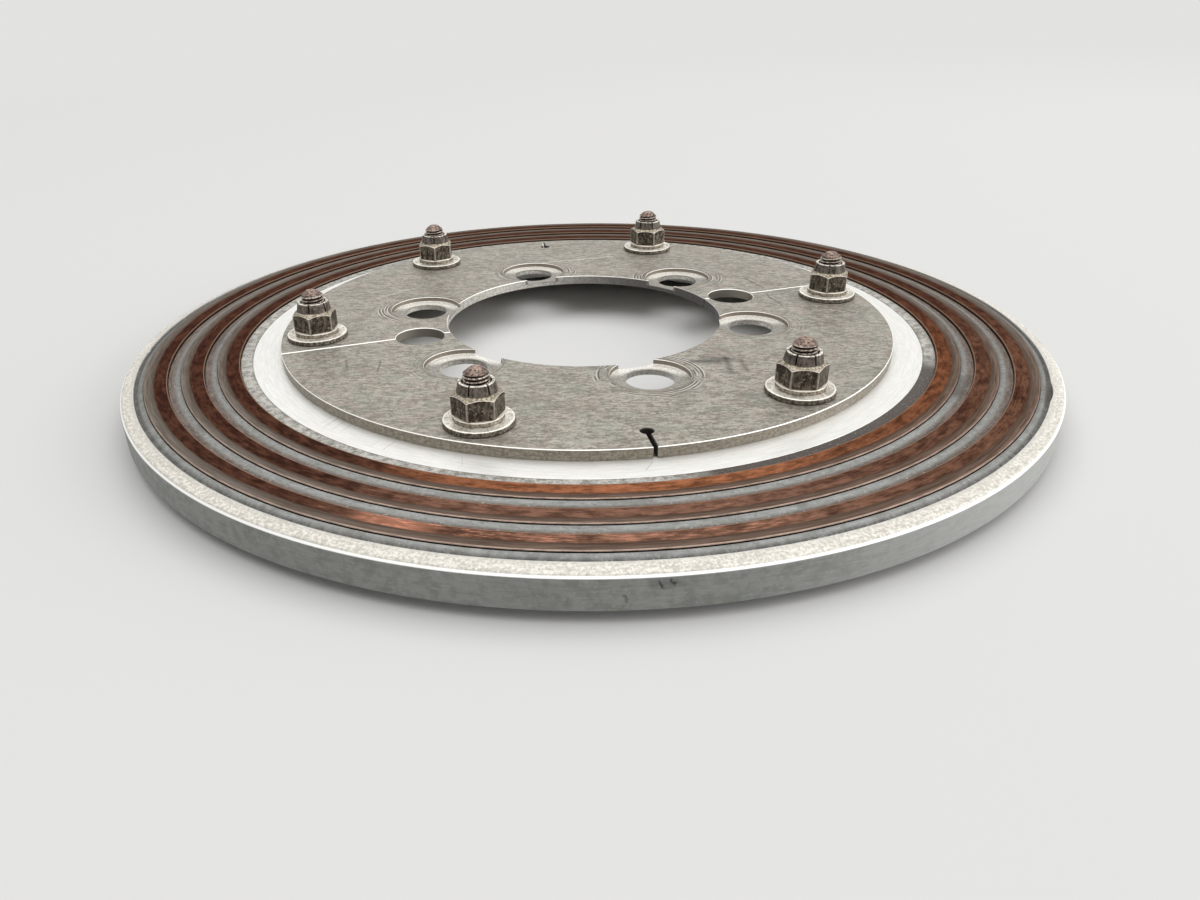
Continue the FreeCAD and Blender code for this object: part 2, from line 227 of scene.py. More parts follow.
housing_profile = eased([
    (HOUSING_RADIUS, UNDERSIDE, 0.35),
    (HOUSING_RADIUS, RIM - EDGE_BREAK_HIGH, 0.2),
    (HOUSING_RADIUS - EDGE_BREAK_WIDE, RIM + RIM_SLOPE * EDGE_BREAK_WIDE, 0.2),
    (LIP_RADIUS, LIP, 0.12),
    (LIP_RADIUS, FLOOR, 0.1),
    (BOSS_RADIUS, FLOOR, 0.1),
    (BOSS_RADIUS, BOSS, 0.12),
    (FLANGE_BORE_RADIUS, BOSS, 0.3),
    (FLANGE_BORE_RADIUS, FLANGE_UNDER, 0.3),
    (RELIEF_RADIUS, FLANGE_UNDER, 0.6),
    (RELIEF_RADIUS, UNDERSIDE, 0.3),
])
housing_angle = full_turn(960)
housing_radius, housing_height = spread_round(housing_profile, housing_angle)
# The lip is nibbled where the potting beside it is chipped, and carries small burrs on the left, each given
# as its angle, its reach and how far it stands out.
at_lip = np.clip(1 - np.abs(housing_profile[:, :1] - LIP_RADIUS) / 0.3, 0, 1) * (housing_profile[:, 1:] > RIM)
housing_radius += 0.55 * at_lip * falloff(housing_angle, CHIP_ANGLE + 0.8, CHIP_REACH)
for burr_angle, burr_reach, burr_out in ((-191.0, 0.7, 0.45), (-204.5, 0.9, 0.35), (-212.0, 0.5, 0.2)):
    burr = at_lip * falloff(housing_angle, burr_angle, burr_reach)
    housing_radius -= burr_out * burr
    housing_height += 0.1 * burr
housing = carried_round("turned_housing", [(housing_radius, housing_height)], housing_angle)
bolt_drills = [
    column_cutter(on_circle(BOLT_RING, a), FLANGE_UNDER - 1, BOSS + 1, BOLT_HOLE_RADIUS) for a in BOLT_ANGLES
]
ring_middles = RING_INSIDES + RING_WIDE / 2
window_mills = [
    raised_cutter(slot_outline(ring_middles[0], ring_middles[-1], WINDOW_WIDE, a), UNDERSIDE - 1, FLOOR + 0.5)
    for a in STATION_ANGLES
]
cut_away(housing, bolt_drills + window_mills)
smooth(housing)


class Socket:
    """One output of a material's nodes. Python's operators on it add the Math nodes of the expression."""

    def __init__(self, tree, output):
        self.tree = tree
        self.output = output

    def node(self, kind, settings, inputs, output=0):
        """Adds a node: its settings are set first, then the value or the link of each of its sockets."""
        made = self.tree.nodes.new(f"ShaderNode{kind}")
        for name, value in settings.items():
            setattr(made, name, value)
        for name, value in inputs.items():
            if isinstance(value, Socket):
                self.tree.links.new(value.output, made.inputs[name])
            else:
                made.inputs[name].default_value = value
        return Socket(self.tree, made.outputs[output])

    def math(self, operation, *others):
        """A Math node with this value first."""
        return self.node("Math", {"operation": operation}, dict(enumerate((self, *others))))

    def __add__(self, other):
        return self.math("ADD", other)

    def __sub__(self, other):
        return self.math("SUBTRACT", other)

    def __rsub__(self, other):
        return self.node("Math", {"operation": "SUBTRACT"}, {0: other, 1: self})

    def __mul__(self, other):
        return self.math("MULTIPLY", other)

    def __truediv__(self, other):
        return self.math("DIVIDE", other)

    def __mod__(self, other):
        return self.math("MODULO", other)

    def __pow__(self, other):
        return self.math("POWER", other)

    __radd__ = __add__
    __rmul__ = __mul__


def new_finish(name):
    """A new material, and its place on the object in millimetres as a socket."""
    material = bpy.data.materials.new(name)
    material.use_nodes = True
    tree = material.node_tree
    coordinates = tree.nodes.new("ShaderNodeTexCoord")
    place = Socket(tree, coordinates.outputs["Object"])
    return material, place.node("VectorMath", {"operation": "SCALE"}, {0: place, "Scale": 1 / MM})


def axes(place):
    """The x, y and z of a place, and its distance from the axis."""
    split = place.node("SeparateXYZ", {}, {0: place}).output.node
    x, y, z = (Socket(place.tree, split.outputs[k]) for k in range(3))
    return x, y, z, (x * x + y * y) ** 0.5


def vector(x, y, z):
    """A place from its x, y and z."""
    return x.node("CombineXYZ", {}, {0: x, 1: y, 2: z})


def noise(place, scale, detail=3.0, rough=0.55):
    """Cloudy pattern from 0 to 1, with features about one over the scale across."""
    return place.node("TexNoise", {}, {"Vector": place, "Scale": scale, "Detail": detail, "Roughness": rough})


def between(value, low, high):
    """0 below the low value, 1 above the high one, and a smooth rise between."""
    settings = {"interpolation_type": "SMOOTHSTEP"}
    return value.node("MapRange", settings, {"Value": value, "From Min": low, "From Max": high})


def mix(amount, first, second):
    """The second colour over the first, by an amount from 0 to 1."""
    first, second = (c if isinstance(c, Socket) else (*c, 1.0) for c in (first, second))
    return amount.node("Mix", {"data_type": "RGBA"}, {0: amount, 6: first, 7: second}, output=2)


def tinted(colour, *tints):
    """Tints laid over a colour in turn: each comes in between two values of its pattern, by an amount."""
    for pattern, low, high, amount, tint in tints:
        colour = mix(between(pattern, low, high) * amount, colour, tint)
    return colour


def round_brush(x, y, radius, long, wide):
    """A place for patterns drawn out round the axis: direction sets the long way, radius the narrow one."""
    return vector(x / radius * long, y / radius * long, radius * wide)


def finished(material, colour, roughness, metallic, bump_height, bump_depth, **constants):
    """Joins a finish to its shader; constants go on the shader's own sockets."""
    tree = material.node_tree
    shader = tree.nodes["Principled BSDF"]
    links = {"Base Color": colour, "Roughness": roughness, "Metallic": metallic}
    settings = {"Strength": 1.0, "Distance": bump_depth * MM, "Height": bump_height}
    links["Normal"] = bump_height.node("Bump", {}, settings)
    for name, value in links.items():
        if isinstance(value, Socket):
            tree.links.new(value.output, shader.inputs[name])
        else:
            shader.inputs[name].default_value = value
    for name, value in constants.items():
        shader.inputs[name].default_value = value
    return material


def put_on(piece, material, node):
    """Gives a piece its finish and its body, and hides the CAD node that it stands for."""
    piece.data.materials.clear()
    piece.data.materials.append(material)
    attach(piece, "root")
    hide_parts(node)


def along_direction(x, y, angle):
    """Distance from the axis along a direction: x cos a + y sin a."""
    turn = math.radians(angle)
    return x * math.cos(turn) + y * math.sin(turn)


def near_angle(x, y, radius, angle, reach):
    """1 along a direction from the axis, falling to 0 at a reach in degrees on each side."""
    return between(along_direction(x, y, angle) / radius, math.cos(math.radians(reach)), 1.0)


def stroke(x, y, start, end, wide):
    """1 on the straight line between two places, falling to 0 at a width from it."""
    long = math.dist(start, end)
    step_x = (end[0] - start[0]) / long
    step_y = (end[1] - start[1]) / long
    run = (x - start[0]) * step_x + (y - start[1]) * step_y
    side = (y - start[1]) * step_x - (x - start[0]) * step_y
    past = (run * -1).math("MAXIMUM", run - long).math("MAXIMUM", 0)
    return 1 - between((side * side + past * past) ** 0.5, 0, wide)


def strokes(x, y, *lines):
    """Several scratches, each given as its start, its end, its width and its strength."""
    total = 0
    for start, end, wide, strength in lines:
        total = stroke(x, y, start, end, wide) * strength + total
    return total


aluminium, place = new_finish("turned aluminium")
x, y, z, radius = axes(place)
cloud = noise(place, 0.07, 4.0)
patches = noise(place, 0.35, 5.0, 0.65)
grit = noise(place, 1.4, 3.0, 0.7)
fine = noise(place, 4.0, 2.0)
swirl = noise(round_brush(x, y, radius, 14.0, 2.0), 1.0, 4.0, 0.7)
turning = noise(vector(x * 0.2, y * 0.2, z * 2.2), 1.0, 4.0, 0.75)
on_wall = between(radius, HOUSING_RADIUS - 0.15, HOUSING_RADIUS - 0.03)
on_edge = between(radius, HOUSING_RADIUS - 0.53, HOUSING_RADIUS - 0.4) * between(z, RIM - 0.8, RIM - 0.6)
on_edge = on_edge * (1 - on_wall)
on_rim = between(radius, LIP_RADIUS - 0.1, LIP_RADIUS + 0.2) * between(z, RIM - 0.3, RIM)
on_boss = between(z, BOSS - 0.3, BOSS - 0.1) * (1 - between(radius, BOSS_RADIUS + 0.1, BOSS_RADIUS + 0.4))
wall_shade = between(patches * 0.6 + turning * 0.4, 0.38, 0.62)
wall_colour = tinted(
    mix(wall_shade, (0.19, 0.195, 0.177), (0.28, 0.285, 0.267)),
    (grit, 0.58, 0.72, 0.35, (0.42, 0.42, 0.40)),
    (patches + cloud * 0.4, 0.76, 0.92, 0.3, (0.12, 0.12, 0.11)),
)
# Painted light: the wall is painted lighter on its right side, which faces the window lamp.
wall_painted_light = mix(turning, (0.34, 0.34, 0.325), (0.62, 0.62, 0.605))
wall_colour = mix(near_angle(x, y, radius, FRONT + 60, 48) * 0.8, wall_colour, wall_painted_light)
# Two short gouges and a knock in the wall, at the front, with dark smudges round them.
run = along_direction(x, y, FRONT + 90) + (grit - 0.5) * 2.0
gouge_z = z + (fine - 0.5) * 1.2
gouges = strokes(
    run, gouge_z, ((13.6, 9.4), (14.4, 8.0), 0.45, 0.9), ((15.6, 9.7), (16.5, 8.6), 0.4, 0.9),
    ((16.2, 8.6), (16.9, 8.9), 0.3, 0.7), ((7.4, 6.5), (7.9, 5.2), 0.55, 0.6),
    ((12.4, 8.8), (18.0, 8.6), 1.6, 0.3),
)
in_front = between(along_direction(x, y, FRONT), 100.0, 110.0)
wall_colour = mix(gouges.math("MINIMUM", 1) * in_front, wall_colour, (0.045, 0.045, 0.04))
rim_colour = mix(between(grit * 0.7 + swirl * 0.3, 0.38, 0.62), (0.47, 0.44, 0.385), (0.77, 0.735, 0.67))
rim_inside = mix(grit, (0.40, 0.38, 0.34), (0.64, 0.62, 0.57))
beside_lip = 1 - between(radius + patches * 1.6, LIP_RADIUS + 0.7, LIP_RADIUS + 2.5)
rim_colour = mix(beside_lip * 0.75, rim_colour, rim_inside)
rim_colour = tinted(rim_colour, (fine, 0.60, 0.72, 0.35, (0.28, 0.25, 0.21)))
boss_colour = tinted(
    mix(between(swirl, 0.3, 0.7), (0.76, 0.755, 0.73), (0.88, 0.87, 0.845)),
    (grit, 0.58, 0.75, 0.3, (0.52, 0.48, 0.44)),
    (patches, 0.56, 0.70, 0.3, (0.74, 0.69, 0.65)),
)
score_x = x + (fine - 0.5) * 0.8
scores = strokes(
    score_x, y, ((-83.8, -46.2), (-79.8, -42.2), 0.2, 0.7), ((-82.2, -48.6), (-78.6, -44.4), 0.16, 0.5),
    ((-84.6, -44.0), (-81.0, -40.6), 0.16, 0.5), ((-80.4, -50.6), (-77.0, -46.8), 0.16, 0.4),
    ((-72.3, -63.3), (-68.7, -60.0), 0.18, 0.6), ((-74.6, -60.4), (-72.2, -58.2), 0.16, 0.4),
    ((-57.0, -77.5), (-56.0, -73.2), 0.16, 0.4), ((-20.0, -93.5), (-17.0, -90.5), 0.2, 0.5),
)
boss_colour = mix(scores.math("MINIMUM", 1), boss_colour, (0.34, 0.32, 0.29))
# Painted shade: the boss is painted near black under the two saw cuts of the plate, which end in keyholes.
KEYHOLE_ANGLE = 80.0
KEYHOLE_RING = 82.3
KEYHOLE_RADIUS = 1.6
saw_run = along_direction(x, y, KEYHOLE_ANGLE).math("ABSOLUTE")
saw_side = along_direction(x, y, KEYHOLE_ANGLE + 90).math("ABSOLUTE")
keyhole_inside = KEYHOLE_RING - KEYHOLE_RADIUS
saw_cut_shade = between(saw_run, keyhole_inside - 0.4, keyhole_inside + 0.1) * (1 - between(saw_run, 89.4, 90.2))
saw_cut_shade = saw_cut_shade * (1 - between(saw_side, KEYHOLE_RADIUS - 0.3, KEYHOLE_RADIUS + 0.3))
boss_colour = mix(saw_cut_shade * 0.95, boss_colour, (0.045, 0.038, 0.03))
colour = mix(between(swirl, 0.3, 0.7), (0.50, 0.50, 0.49), (0.62, 0.62, 0.61))
colour = mix(on_rim, colour, rim_colour)
colour = mix(on_wall, colour, wall_colour)
# Painted highlight: the edge break is near white, partly its bright cut and partly a painted highlight.
colour = mix(on_edge, colour, (0.97, 0.965, 0.94))
colour = mix(on_boss, colour, boss_colour)
roughness = 0.60 - 0.17 * on_boss - 0.08 * on_edge + 0.12 * (grit - 0.5)
metallic = 0.25 + 0.35 * on_boss + 0.3 * on_edge
bump = fine * 0.4 + grit * 0.5 + swirl * 0.35 + turning * 0.4 * on_wall
finished(aluminium, colour, roughness, metallic, bump, 0.04)
put_on(housing, aluminium, "slip_ring_housing")


# Potting: grey epoxy cast in the channel round the rings and struck off by hand. It stands a little higher
# outside each ring than inside the next one, has come away from the rings in a hair crack, and falls away in
# a groove along the lip, where its edge is broken out at the right front.
RING_UNDER = 9.1
RING_OUTSIDES = RING_INSIDES + RING_WIDE
RING_PITCH = 9.55
STUD_RADIUS = 2.085
CRACK_WIDE = 0.15
casting_angle = full_turn(960)
waves = np.random.default_rng(4)
ripple = sum(
    waves.uniform(0.3, 1.0) * np.cos(turns * casting_angle + waves.uniform(0, 2 * math.pi))
    for turns in (5, 9, 14, 23, 37, 61)
)


def across_land(inner, profile):
    """Rows across a land from (distance, height over the lip) points, whose heights ripple round the ring."""
    distance, rise = np.array(profile).T[..., None]
    return inner + distance, LIP + rise + 0.012 * ripple * np.sin(distance)


chip = falloff(casting_angle, CHIP_ANGLE, CHIP_REACH)
inner_land = across_land(BOSS_RADIUS, [
    (0, -0.25), (0.8, -0.2), (1.8, -0.16), (2.9, -0.16), (3.32, -0.18), (3.42, -0.3), (3.5, -0.31),
])
gap_profile = [
    (0, 0.0), (0.06, 0.0), (CRACK_WIDE, 0.2), (0.45, 0.26), (0.75, 0.27), (1.2, 0.22), (1.8, 0.1),
    (2.4, -0.03), (2.9, -0.1), (3.32, -0.13), (3.42, -0.25), (3.5, -0.26),
]
groove_radius, groove_height = across_land(RING_OUTSIDES[2], [
    (0, 0.0), (0.06, 0.0), (CRACK_WIDE, 0.18), (0.5, 0.2), (0.8, 0.16), (1.1, 0.03), (1.4, -0.2),
    (1.7, -0.42), (2.0, -0.53), (2.3, -0.56), (2.55, -0.55),
])
groove_share = (groove_radius - RING_OUTSIDES[2]) / (LIP_RADIUS - RING_OUTSIDES[2])
groove_radius = groove_radius + 0.5 * groove_share**2 * chip
groove_height = groove_height - 0.45 * chip * np.clip(groove_share - 0.2, 0, 1)
lands = [across_land(RING_OUTSIDES[0], gap_profile), across_land(RING_OUTSIDES[1], gap_profile)]
lands.append((groove_radius, groove_height))
# From the boss outwards, with each ring's seat between two lands, then down and back under the channel.
strips = [inner_land]
for inside, outside, land in zip(RING_INSIDES, RING_OUTSIDES, lands):
    strips += [(inside, RING_UNDER), (outside, RING_UNDER), land]
strips += [(LIP_RADIUS, FLOOR), (BOSS_RADIUS, FLOOR)]
casting_radius, casting_height = spread_round(strips, casting_angle)
potting = carried_round("cast_potting", [(casting_radius[::-1], casting_height[::-1])], casting_angle)
cut_away(potting, [
    column_cutter(on_circle(r, a), FLOOR - 1, RING_UNDER + 0.2, STUD_RADIUS, 48)
    for a in STATION_ANGLES for r in ring_middles
])
smooth(potting, 40)

epoxy, place = new_finish("grey epoxy")
x, y, z, radius = axes(place)
cloud = noise(place, 0.10, 4.0)
patches = noise(place, 0.45, 4.0, 0.65)
grit = noise(place, 1.4, 3.0, 0.7)
drawn = noise(round_brush(x, y, radius, 22.0, 1.3), 1.0, 5.0, 0.7)
across = (radius - BOSS_RADIUS) % RING_PITCH
spread = (drawn - 0.5) * 1.6 + (patches - 0.5) * 1.6
on_inner_land = 1 - between(radius, RING_INSIDES[0] - 0.1, RING_INSIDES[0] + 0.3)
on_groove = between(radius, LIP_RADIUS - 1.5, LIP_RADIUS - 0.7)
back_side = near_angle(x, y, radius, FRONT + 180, 75)
front_unshaded = near_angle(x, y, radius, FRONT, 85)
gap_light = mix(between(patches * 0.5 + drawn * 0.5, 0.38, 0.62), (0.195, 0.195, 0.18), (0.30, 0.305, 0.292))
gap_dark = mix(between(drawn, 0.38, 0.62), (0.065, 0.042, 0.030), (0.15, 0.115, 0.092))
# Painted shade: the lands are painted darker away from the front, at the sides, and darker still beside each
# ring's outer edge there.
gap_light = mix((1 - front_unshaded) * 0.6, gap_light, (0.10, 0.095, 0.085))
colour = mix(between(across + spread + (1 - front_unshaded) * 0.7, 1.6, 2.7), gap_light, gap_dark)
ring_side_shade = 1 - between(across + spread * 0.5, 0.2, 1.2)
colour = mix(ring_side_shade * (1 - front_unshaded) * 0.6, colour, (0.10, 0.09, 0.08))
land_colour = mix(between(grit * 0.5 + patches * 0.5, 0.40, 0.60), (0.165, 0.155, 0.132), (0.51, 0.495, 0.45))
land_colour = mix(between(across + spread, 2.9, 3.8) * 0.8, land_colour, (0.15, 0.10, 0.078))
# Painted shade: the inner land is painted darker along the boss edge.
land_colour = mix((1 - between(across + spread, 0.1, 0.7)) * 0.6, land_colour, (0.16, 0.15, 0.13))
colour = mix(back_side * 0.7, colour, (0.115, 0.072, 0.050))
colour = mix(on_inner_land, colour, land_colour)
# Painted shade: the groove along the lip is painted dark, and darker still away from the front.
groove_shade_colour = mix(between(patches, 0.4, 0.6), (0.055, 0.055, 0.049), (0.135, 0.13, 0.118))
colour = mix(on_groove, colour, mix((1 - front_unshaded) * 0.6, groove_shade_colour, (0.035, 0.035, 0.031)))
# Carbon dust lies thick on the inner land and by the first ring at the right front, and thinly elsewhere.
dust_edge = between(grit * 0.3 + patches * 0.4 + cloud * 0.3, 0.32, 0.5)
dusty = near_angle(x, y, radius, FRONT + 42, 33) * (0.6 + dust_edge)
dusty = (dusty * 2.0).math("MINIMUM", 1.15) * on_inner_land
past_first_ring = radius + spread - RING_OUTSIDES[0]
by_first_ring = between(past_first_ring, -0.05, 0.55) * (1 - between(past_first_ring, 1.95, 3.35))
dusty = dusty + near_angle(x, y, radius, FRONT + 62, 5.5) * by_first_ring * 0.8
by_lip = between(radius, LIP_RADIUS - 2.3, LIP_RADIUS - 0.5)
dusty = dusty + near_angle(x, y, radius, CHIP_ANGLE, 4.0) * by_lip
dusty = dusty + between(cloud, 0.56, 0.72) * 0.35
colour = mix((dusty * 0.85).math("MINIMUM", 1), colour, (0.045, 0.032, 0.025))
colour = tinted(
    colour, (grit, 0.57, 0.72, 0.55, (0.075, 0.068, 0.058)), (grit, 0.42, 0.28, 0.4, (0.58, 0.57, 0.54)),
)
# Painted shade: the hair cracks beside the rings are painted black.
crack_shade = (1 - between(across, 0.04, 0.12)) * (1 - on_inner_land) + between(across, 3.36, 3.44)
colour = mix(crack_shade, colour, (0.012, 0.008, 0.006))
roughness = 0.5 + 0.25 * grit
bump = grit * 0.7 + drawn * 0.5
finished(epoxy, colour, roughness, 0.0, bump, 0.08)
put_on(potting, epoxy, "insulating_potting")


# Rings: three turned copper rings, set in the potting and left proud of it. The brushes run on the inner part
# of each: it is brown at the left and orange at the front, partly rubbed copper and partly painted sheen. The
# strip outside it keeps its grey skin, the inner corners are worn bright, the outer corners carry a painted
# highlight at the front, and the walls below the top are painted black as shade.
RING_TOP = 12.3
TRACK_WIDES = (3.9, 3.85, 3.3)
TRACK_EDGES_IN = (0.5, 0.35, 0.15)
RUBBED_AND_SHEEN_COLOURS = ((0.285, 0.115, 0.060), (0.185, 0.098, 0.070), (0.205, 0.108, 0.075))
RING_NAMES = ("inner", "middle", "outer")
for name, inside, track, edge_in, rubbed_and_sheen_colour in zip(
        RING_NAMES, RING_INSIDES, TRACK_WIDES, TRACK_EDGES_IN, RUBBED_AND_SHEEN_COLOURS):
    outside = inside + RING_WIDE
    ring_profile = eased([
        (inside, RING_UNDER, 0.15),
        (outside, RING_UNDER, 0.15),
        (outside, RING_TOP, 0.14),
        (inside + track + 0.12, RING_TOP, 0.05),
        (inside + track, RING_TOP - 0.05, 0.05),
        (inside + track / 2, RING_TOP - 0.07, 0.5),
        (inside, RING_TOP - 0.03, 0.14),
    ])
    ring = carried_round(f"{name}_copper_ring", ring_profile, full_turn(720))
    smooth(ring)
    copper, place = new_finish(f"{name} ring copper")
    x, y, z, radius = axes(place)
    cloud = noise(place, 0.06, 4.0)
    patches = noise(round_brush(x, y, radius, 22.0, 0.5), 1.0, 4.0, 0.65)
    lines = noise(round_brush(x, y, radius, 11.0, 2.4), 1.0, 5.0, 0.75)
    dashes = noise(round_brush(x, y, radius, 34.0, 1.7), 1.0, 4.0, 0.75)
    soft_edge = radius + (lines - 0.5) * 0.9
    off_track = between(soft_edge, inside + track - edge_in, inside + track + 0.3)
    # Partly painted sheen: the track turns orange towards the front, partly rubbed copper and partly painted
    # sheen.
    rubbed_and_sheen = near_angle(x, y, radius, FRONT + 2, 32.0) + near_angle(x, y, radius, FRONT + 45, 62.0) * 0.55
    rubbed_and_sheen = (rubbed_and_sheen * between(cloud + lines * 0.5, 0.45, 0.75)).math("MINIMUM", 1)
    blotches = patches * 0.5 + dashes * 0.5
    brown = mix(between(blotches, 0.40, 0.60), (0.028, 0.014, 0.010), (0.098, 0.046, 0.032))
    orange_dark, orange_light = (tuple(share * c for c in rubbed_and_sheen_colour) for share in (0.45, 1.45))
    orange = mix(between(blotches, 0.38, 0.62), orange_dark, orange_light)
    track_colour = mix(rubbed_and_sheen, brown, orange)
    grey_skin = mix(between(lines, 0.35, 0.65), (0.115, 0.100, 0.086), (0.215, 0.195, 0.175))
    warm_skin = mix(between(lines, 0.35, 0.65), (0.085, 0.055, 0.042), (0.190, 0.135, 0.110))
    strip_colour = mix(near_angle(x, y, radius, FRONT + 25, 75.0), grey_skin, warm_skin)
    strip_shade = 1 - between(radius, inside + track, outside - 0.7)
    strip_colour = mix(strip_shade * 0.55, strip_colour, (0.050, 0.034, 0.026))
    colour = mix(off_track, track_colour, strip_colour)
    spots = between(dashes, 0.62, 0.74) * between(patches, 0.50, 0.62)
    colour = mix(spots * 0.6, colour, (0.42, 0.27, 0.19))
    if name == "inner":
        golden = near_angle(x, y, radius, FRONT + 31, 10.0) * between(dashes, 0.60, 0.70)
        colour = mix(golden * 0.7 * (1 - off_track), colour, (0.52, 0.30, 0.13))
    if name == "outer":
        streaks = between(dashes * 0.5 + patches * 0.3 + lines * 0.2, 0.50, 0.62)
        fresh = near_angle(x, y, radius, FRONT - 17.5, 5.0) * (0.5 + streaks)
        fresh = fresh + near_angle(x, y, radius, FRONT - 9, 11.0) * streaks
        fresh = fresh + near_angle(x, y, radius, FRONT + 9, 13.0) * 0.8 * streaks
        fresh = fresh * (1 - off_track)
        colour = mix((fresh * 0.85).math("MINIMUM", 1), colour, (0.60, 0.27, 0.18))
    # Painted highlight: the outer top corner is painted light towards the front.
    corner_highlight = between(radius, outside - 0.42, outside - 0.3) * between(z, RING_TOP - 0.3, RING_TOP - 0.2)
    corner_highlight = corner_highlight * near_angle(x, y, radius, FRONT, 82)
    colour = mix(corner_highlight * (0.35 + 0.6 * between(dashes, 0.35, 0.6)), colour, (0.47, 0.36, 0.30))
    on_inner_corner = 1 - between(radius, inside + 0.2, inside + 0.32)
    colour = mix(on_inner_corner * 0.75, colour, (0.30, 0.215, 0.165))
    # Painted shade: the ring's walls below the top are painted near black.
    shade_level = RING_TOP - 0.26 - 0.2 * on_inner_corner
    colour = mix(1 - between(z - shade_level, 0.0, 0.08), colour, (0.012, 0.007, 0.005))
    roughness = 0.38 + 0.2 * lines + 0.1 * off_track
    bump = lines * 0.6 + dashes * 0.4
    finished(copper, colour, roughness, 0.9, bump, 0.04, **{"Specular Tint": (0.5, 0.36, 0.28, 1.0)})
    put_on(ring, copper, f"{name}_slip_ring")


# Mounting plate: two halves of steel sheet, each with three counterbored stud holes, three bolt holes, its
# share of the two dowel holes and a keyhole with a saw cut to the edge. The faces are ground, and the
# counterbore tool has left rings round its holes.
PLATE_TOP = 14.4
PLATE_RADIUS = 90.5
PLATE_BORE_RADIUS = 41.65
STUD_RING = 50.8
FIRST_STUD = 30
STUD_HOLE_RADIUS = 6.5
SINK_RADIUS = 10.75
SINK_DEEP = 1.5
DOWEL_RADIUS = 7.145
HALF_SPLIT = 0.4
HALF_SAW = 0.5
PLATE_EDGE_BREAK = 0.2


def arc(across, along, radius, start, end, count):
    """Points on a circle from one angle to another."""
    angle = np.linspace(start, end, count)
    return np.stack([across + radius * np.cos(angle), along + radius * np.sin(angle)], axis=-1)


def shifted_inwards(outline, amount):
    """A closed outline moved to its left by an amount, with mitred corners."""
    along = np.roll(outline, -1, axis=0) - outline
    along /= np.linalg.norm(along, axis=1, keepdims=True)
    left = np.stack([-along[:, 1], along[:, 0]], axis=-1)
    both = left + np.roll(left, 1, axis=0)
    return outline + both * amount * 2 / (both**2).sum(axis=1, keepdims=True)


def half_plate_outline():
    """The half on the +Y side, walked with the metal on the left: rim, saw cut, rim, split, bore, split."""
    rim_end = math.asin(HALF_SPLIT / PLATE_RADIUS)
    bore_end = math.asin(HALF_SPLIT / PLATE_BORE_RADIUS)
    dowel_end = math.asin(HALF_SPLIT / DOWEL_RADIUS)
    saw_end = math.asin(HALF_SAW / PLATE_RADIUS)
    keyhole_end = math.asin(HALF_SAW / KEYHOLE_RADIUS)
    keyhole = math.radians(KEYHOLE_ANGLE)
    keyhole_centre = on_circle(KEYHOLE_RING, keyhole)
    return np.vstack([
        arc(0, 0, PLATE_RADIUS, rim_end, keyhole - saw_end, 120),
        arc(*keyhole_centre, KEYHOLE_RADIUS, keyhole - keyhole_end, keyhole + keyhole_end - 2 * math.pi, 29),
        arc(0, 0, PLATE_RADIUS, keyhole + saw_end, math.pi - rim_end, 150),
        arc(-STUD_RING, 0, DOWEL_RADIUS, math.pi - dowel_end, dowel_end, 41),
        arc(0, 0, PLATE_BORE_RADIUS, math.pi - bore_end, bore_end, 140),
        arc(STUD_RING, 0, DOWEL_RADIUS, math.pi - dowel_end, dowel_end, 41),
    ])


def cut_from_sheet(name, outlines, low, high, broken):
    """A sheet with holes: each outline is raised through four levels with broken edges, then both faces are
    filled."""
    levels = [(low, broken), (low + broken, 0.0), (high - broken, 0.0), (high, broken)]
    points = []
    faces = []
    rings = {0: [], 3: []}
    count = 0
    for outline in outlines:
        rows = [
            np.column_stack([shifted_inwards(outline, inset), np.full(len(outline), level)])
            for level, inset in levels
        ]
        faces += (corner_numbers(len(rows), len(outline), False) + count).tolist()
        for row in rings:
            rings[row].append((rows[row], count + row * len(outline)))
        points += rows
        count += len(rows) * len(outline)
    for row, sides in rings.items():
        numbers = np.concatenate([np.arange(first, first + len(side)) for side, first in sides])
        flat = np.vstack([side for side, _ in sides])
        triangles = np.array(tessellate_polygon([[Vector(p) for p in side] for side, _ in sides]))
        a, b, c = (flat[triangles[:, k], :2] for k in range(3))
        turn = np.cross(b - a, c - a)
        wrong = turn < 0 if row == 3 else turn > 0
        triangles[wrong] = triangles[wrong][:, ::-1]
        faces += numbers[triangles].tolist()
    return mesh_piece(name, points, faces)


def sink_cutter(at):
    """The counterbore tool: a flat end with a rounded corner, a straight side and a flare at the top."""
    low = PLATE_TOP - SINK_DEEP
    corner = np.linspace(-math.pi / 2, 0, 5)
    ease = 0.45
    side = np.stack([SINK_RADIUS - ease + ease * np.cos(corner), low + ease + ease * np.sin(corner)], axis=-1)
    profile = np.vstack([
        [(0, low)],
        side,
        [(SINK_RADIUS, PLATE_TOP - 0.12), (SINK_RADIUS + 0.5, PLATE_TOP + 0.38), (0, PLATE_TOP + 0.38)],
    ])
    return carried_round("cutter", profile, full_turn(128), False, at)


def nearest_of_six(x, y, radius, ring, first):
    """Six places stand on a circle, the first at an angle in degrees: number of the nearest one, the place
    about it (outwards, and along the circle) and the distance from it."""
    sector = y.math("ARCTAN2", x) * (3 / math.pi) + (0.5 - first / 60)
    number = sector.math("FLOOR")
    turn = (sector - number - 0.5) * (math.pi / 3)
    out = radius * turn.math("COSINE") - ring
    along = radius * turn.math("SINE")
    return number, out, along, (out * out + along * along) ** 0.5


steel, place = new_finish("ground steel plate")
x, y, z, radius = axes(place)
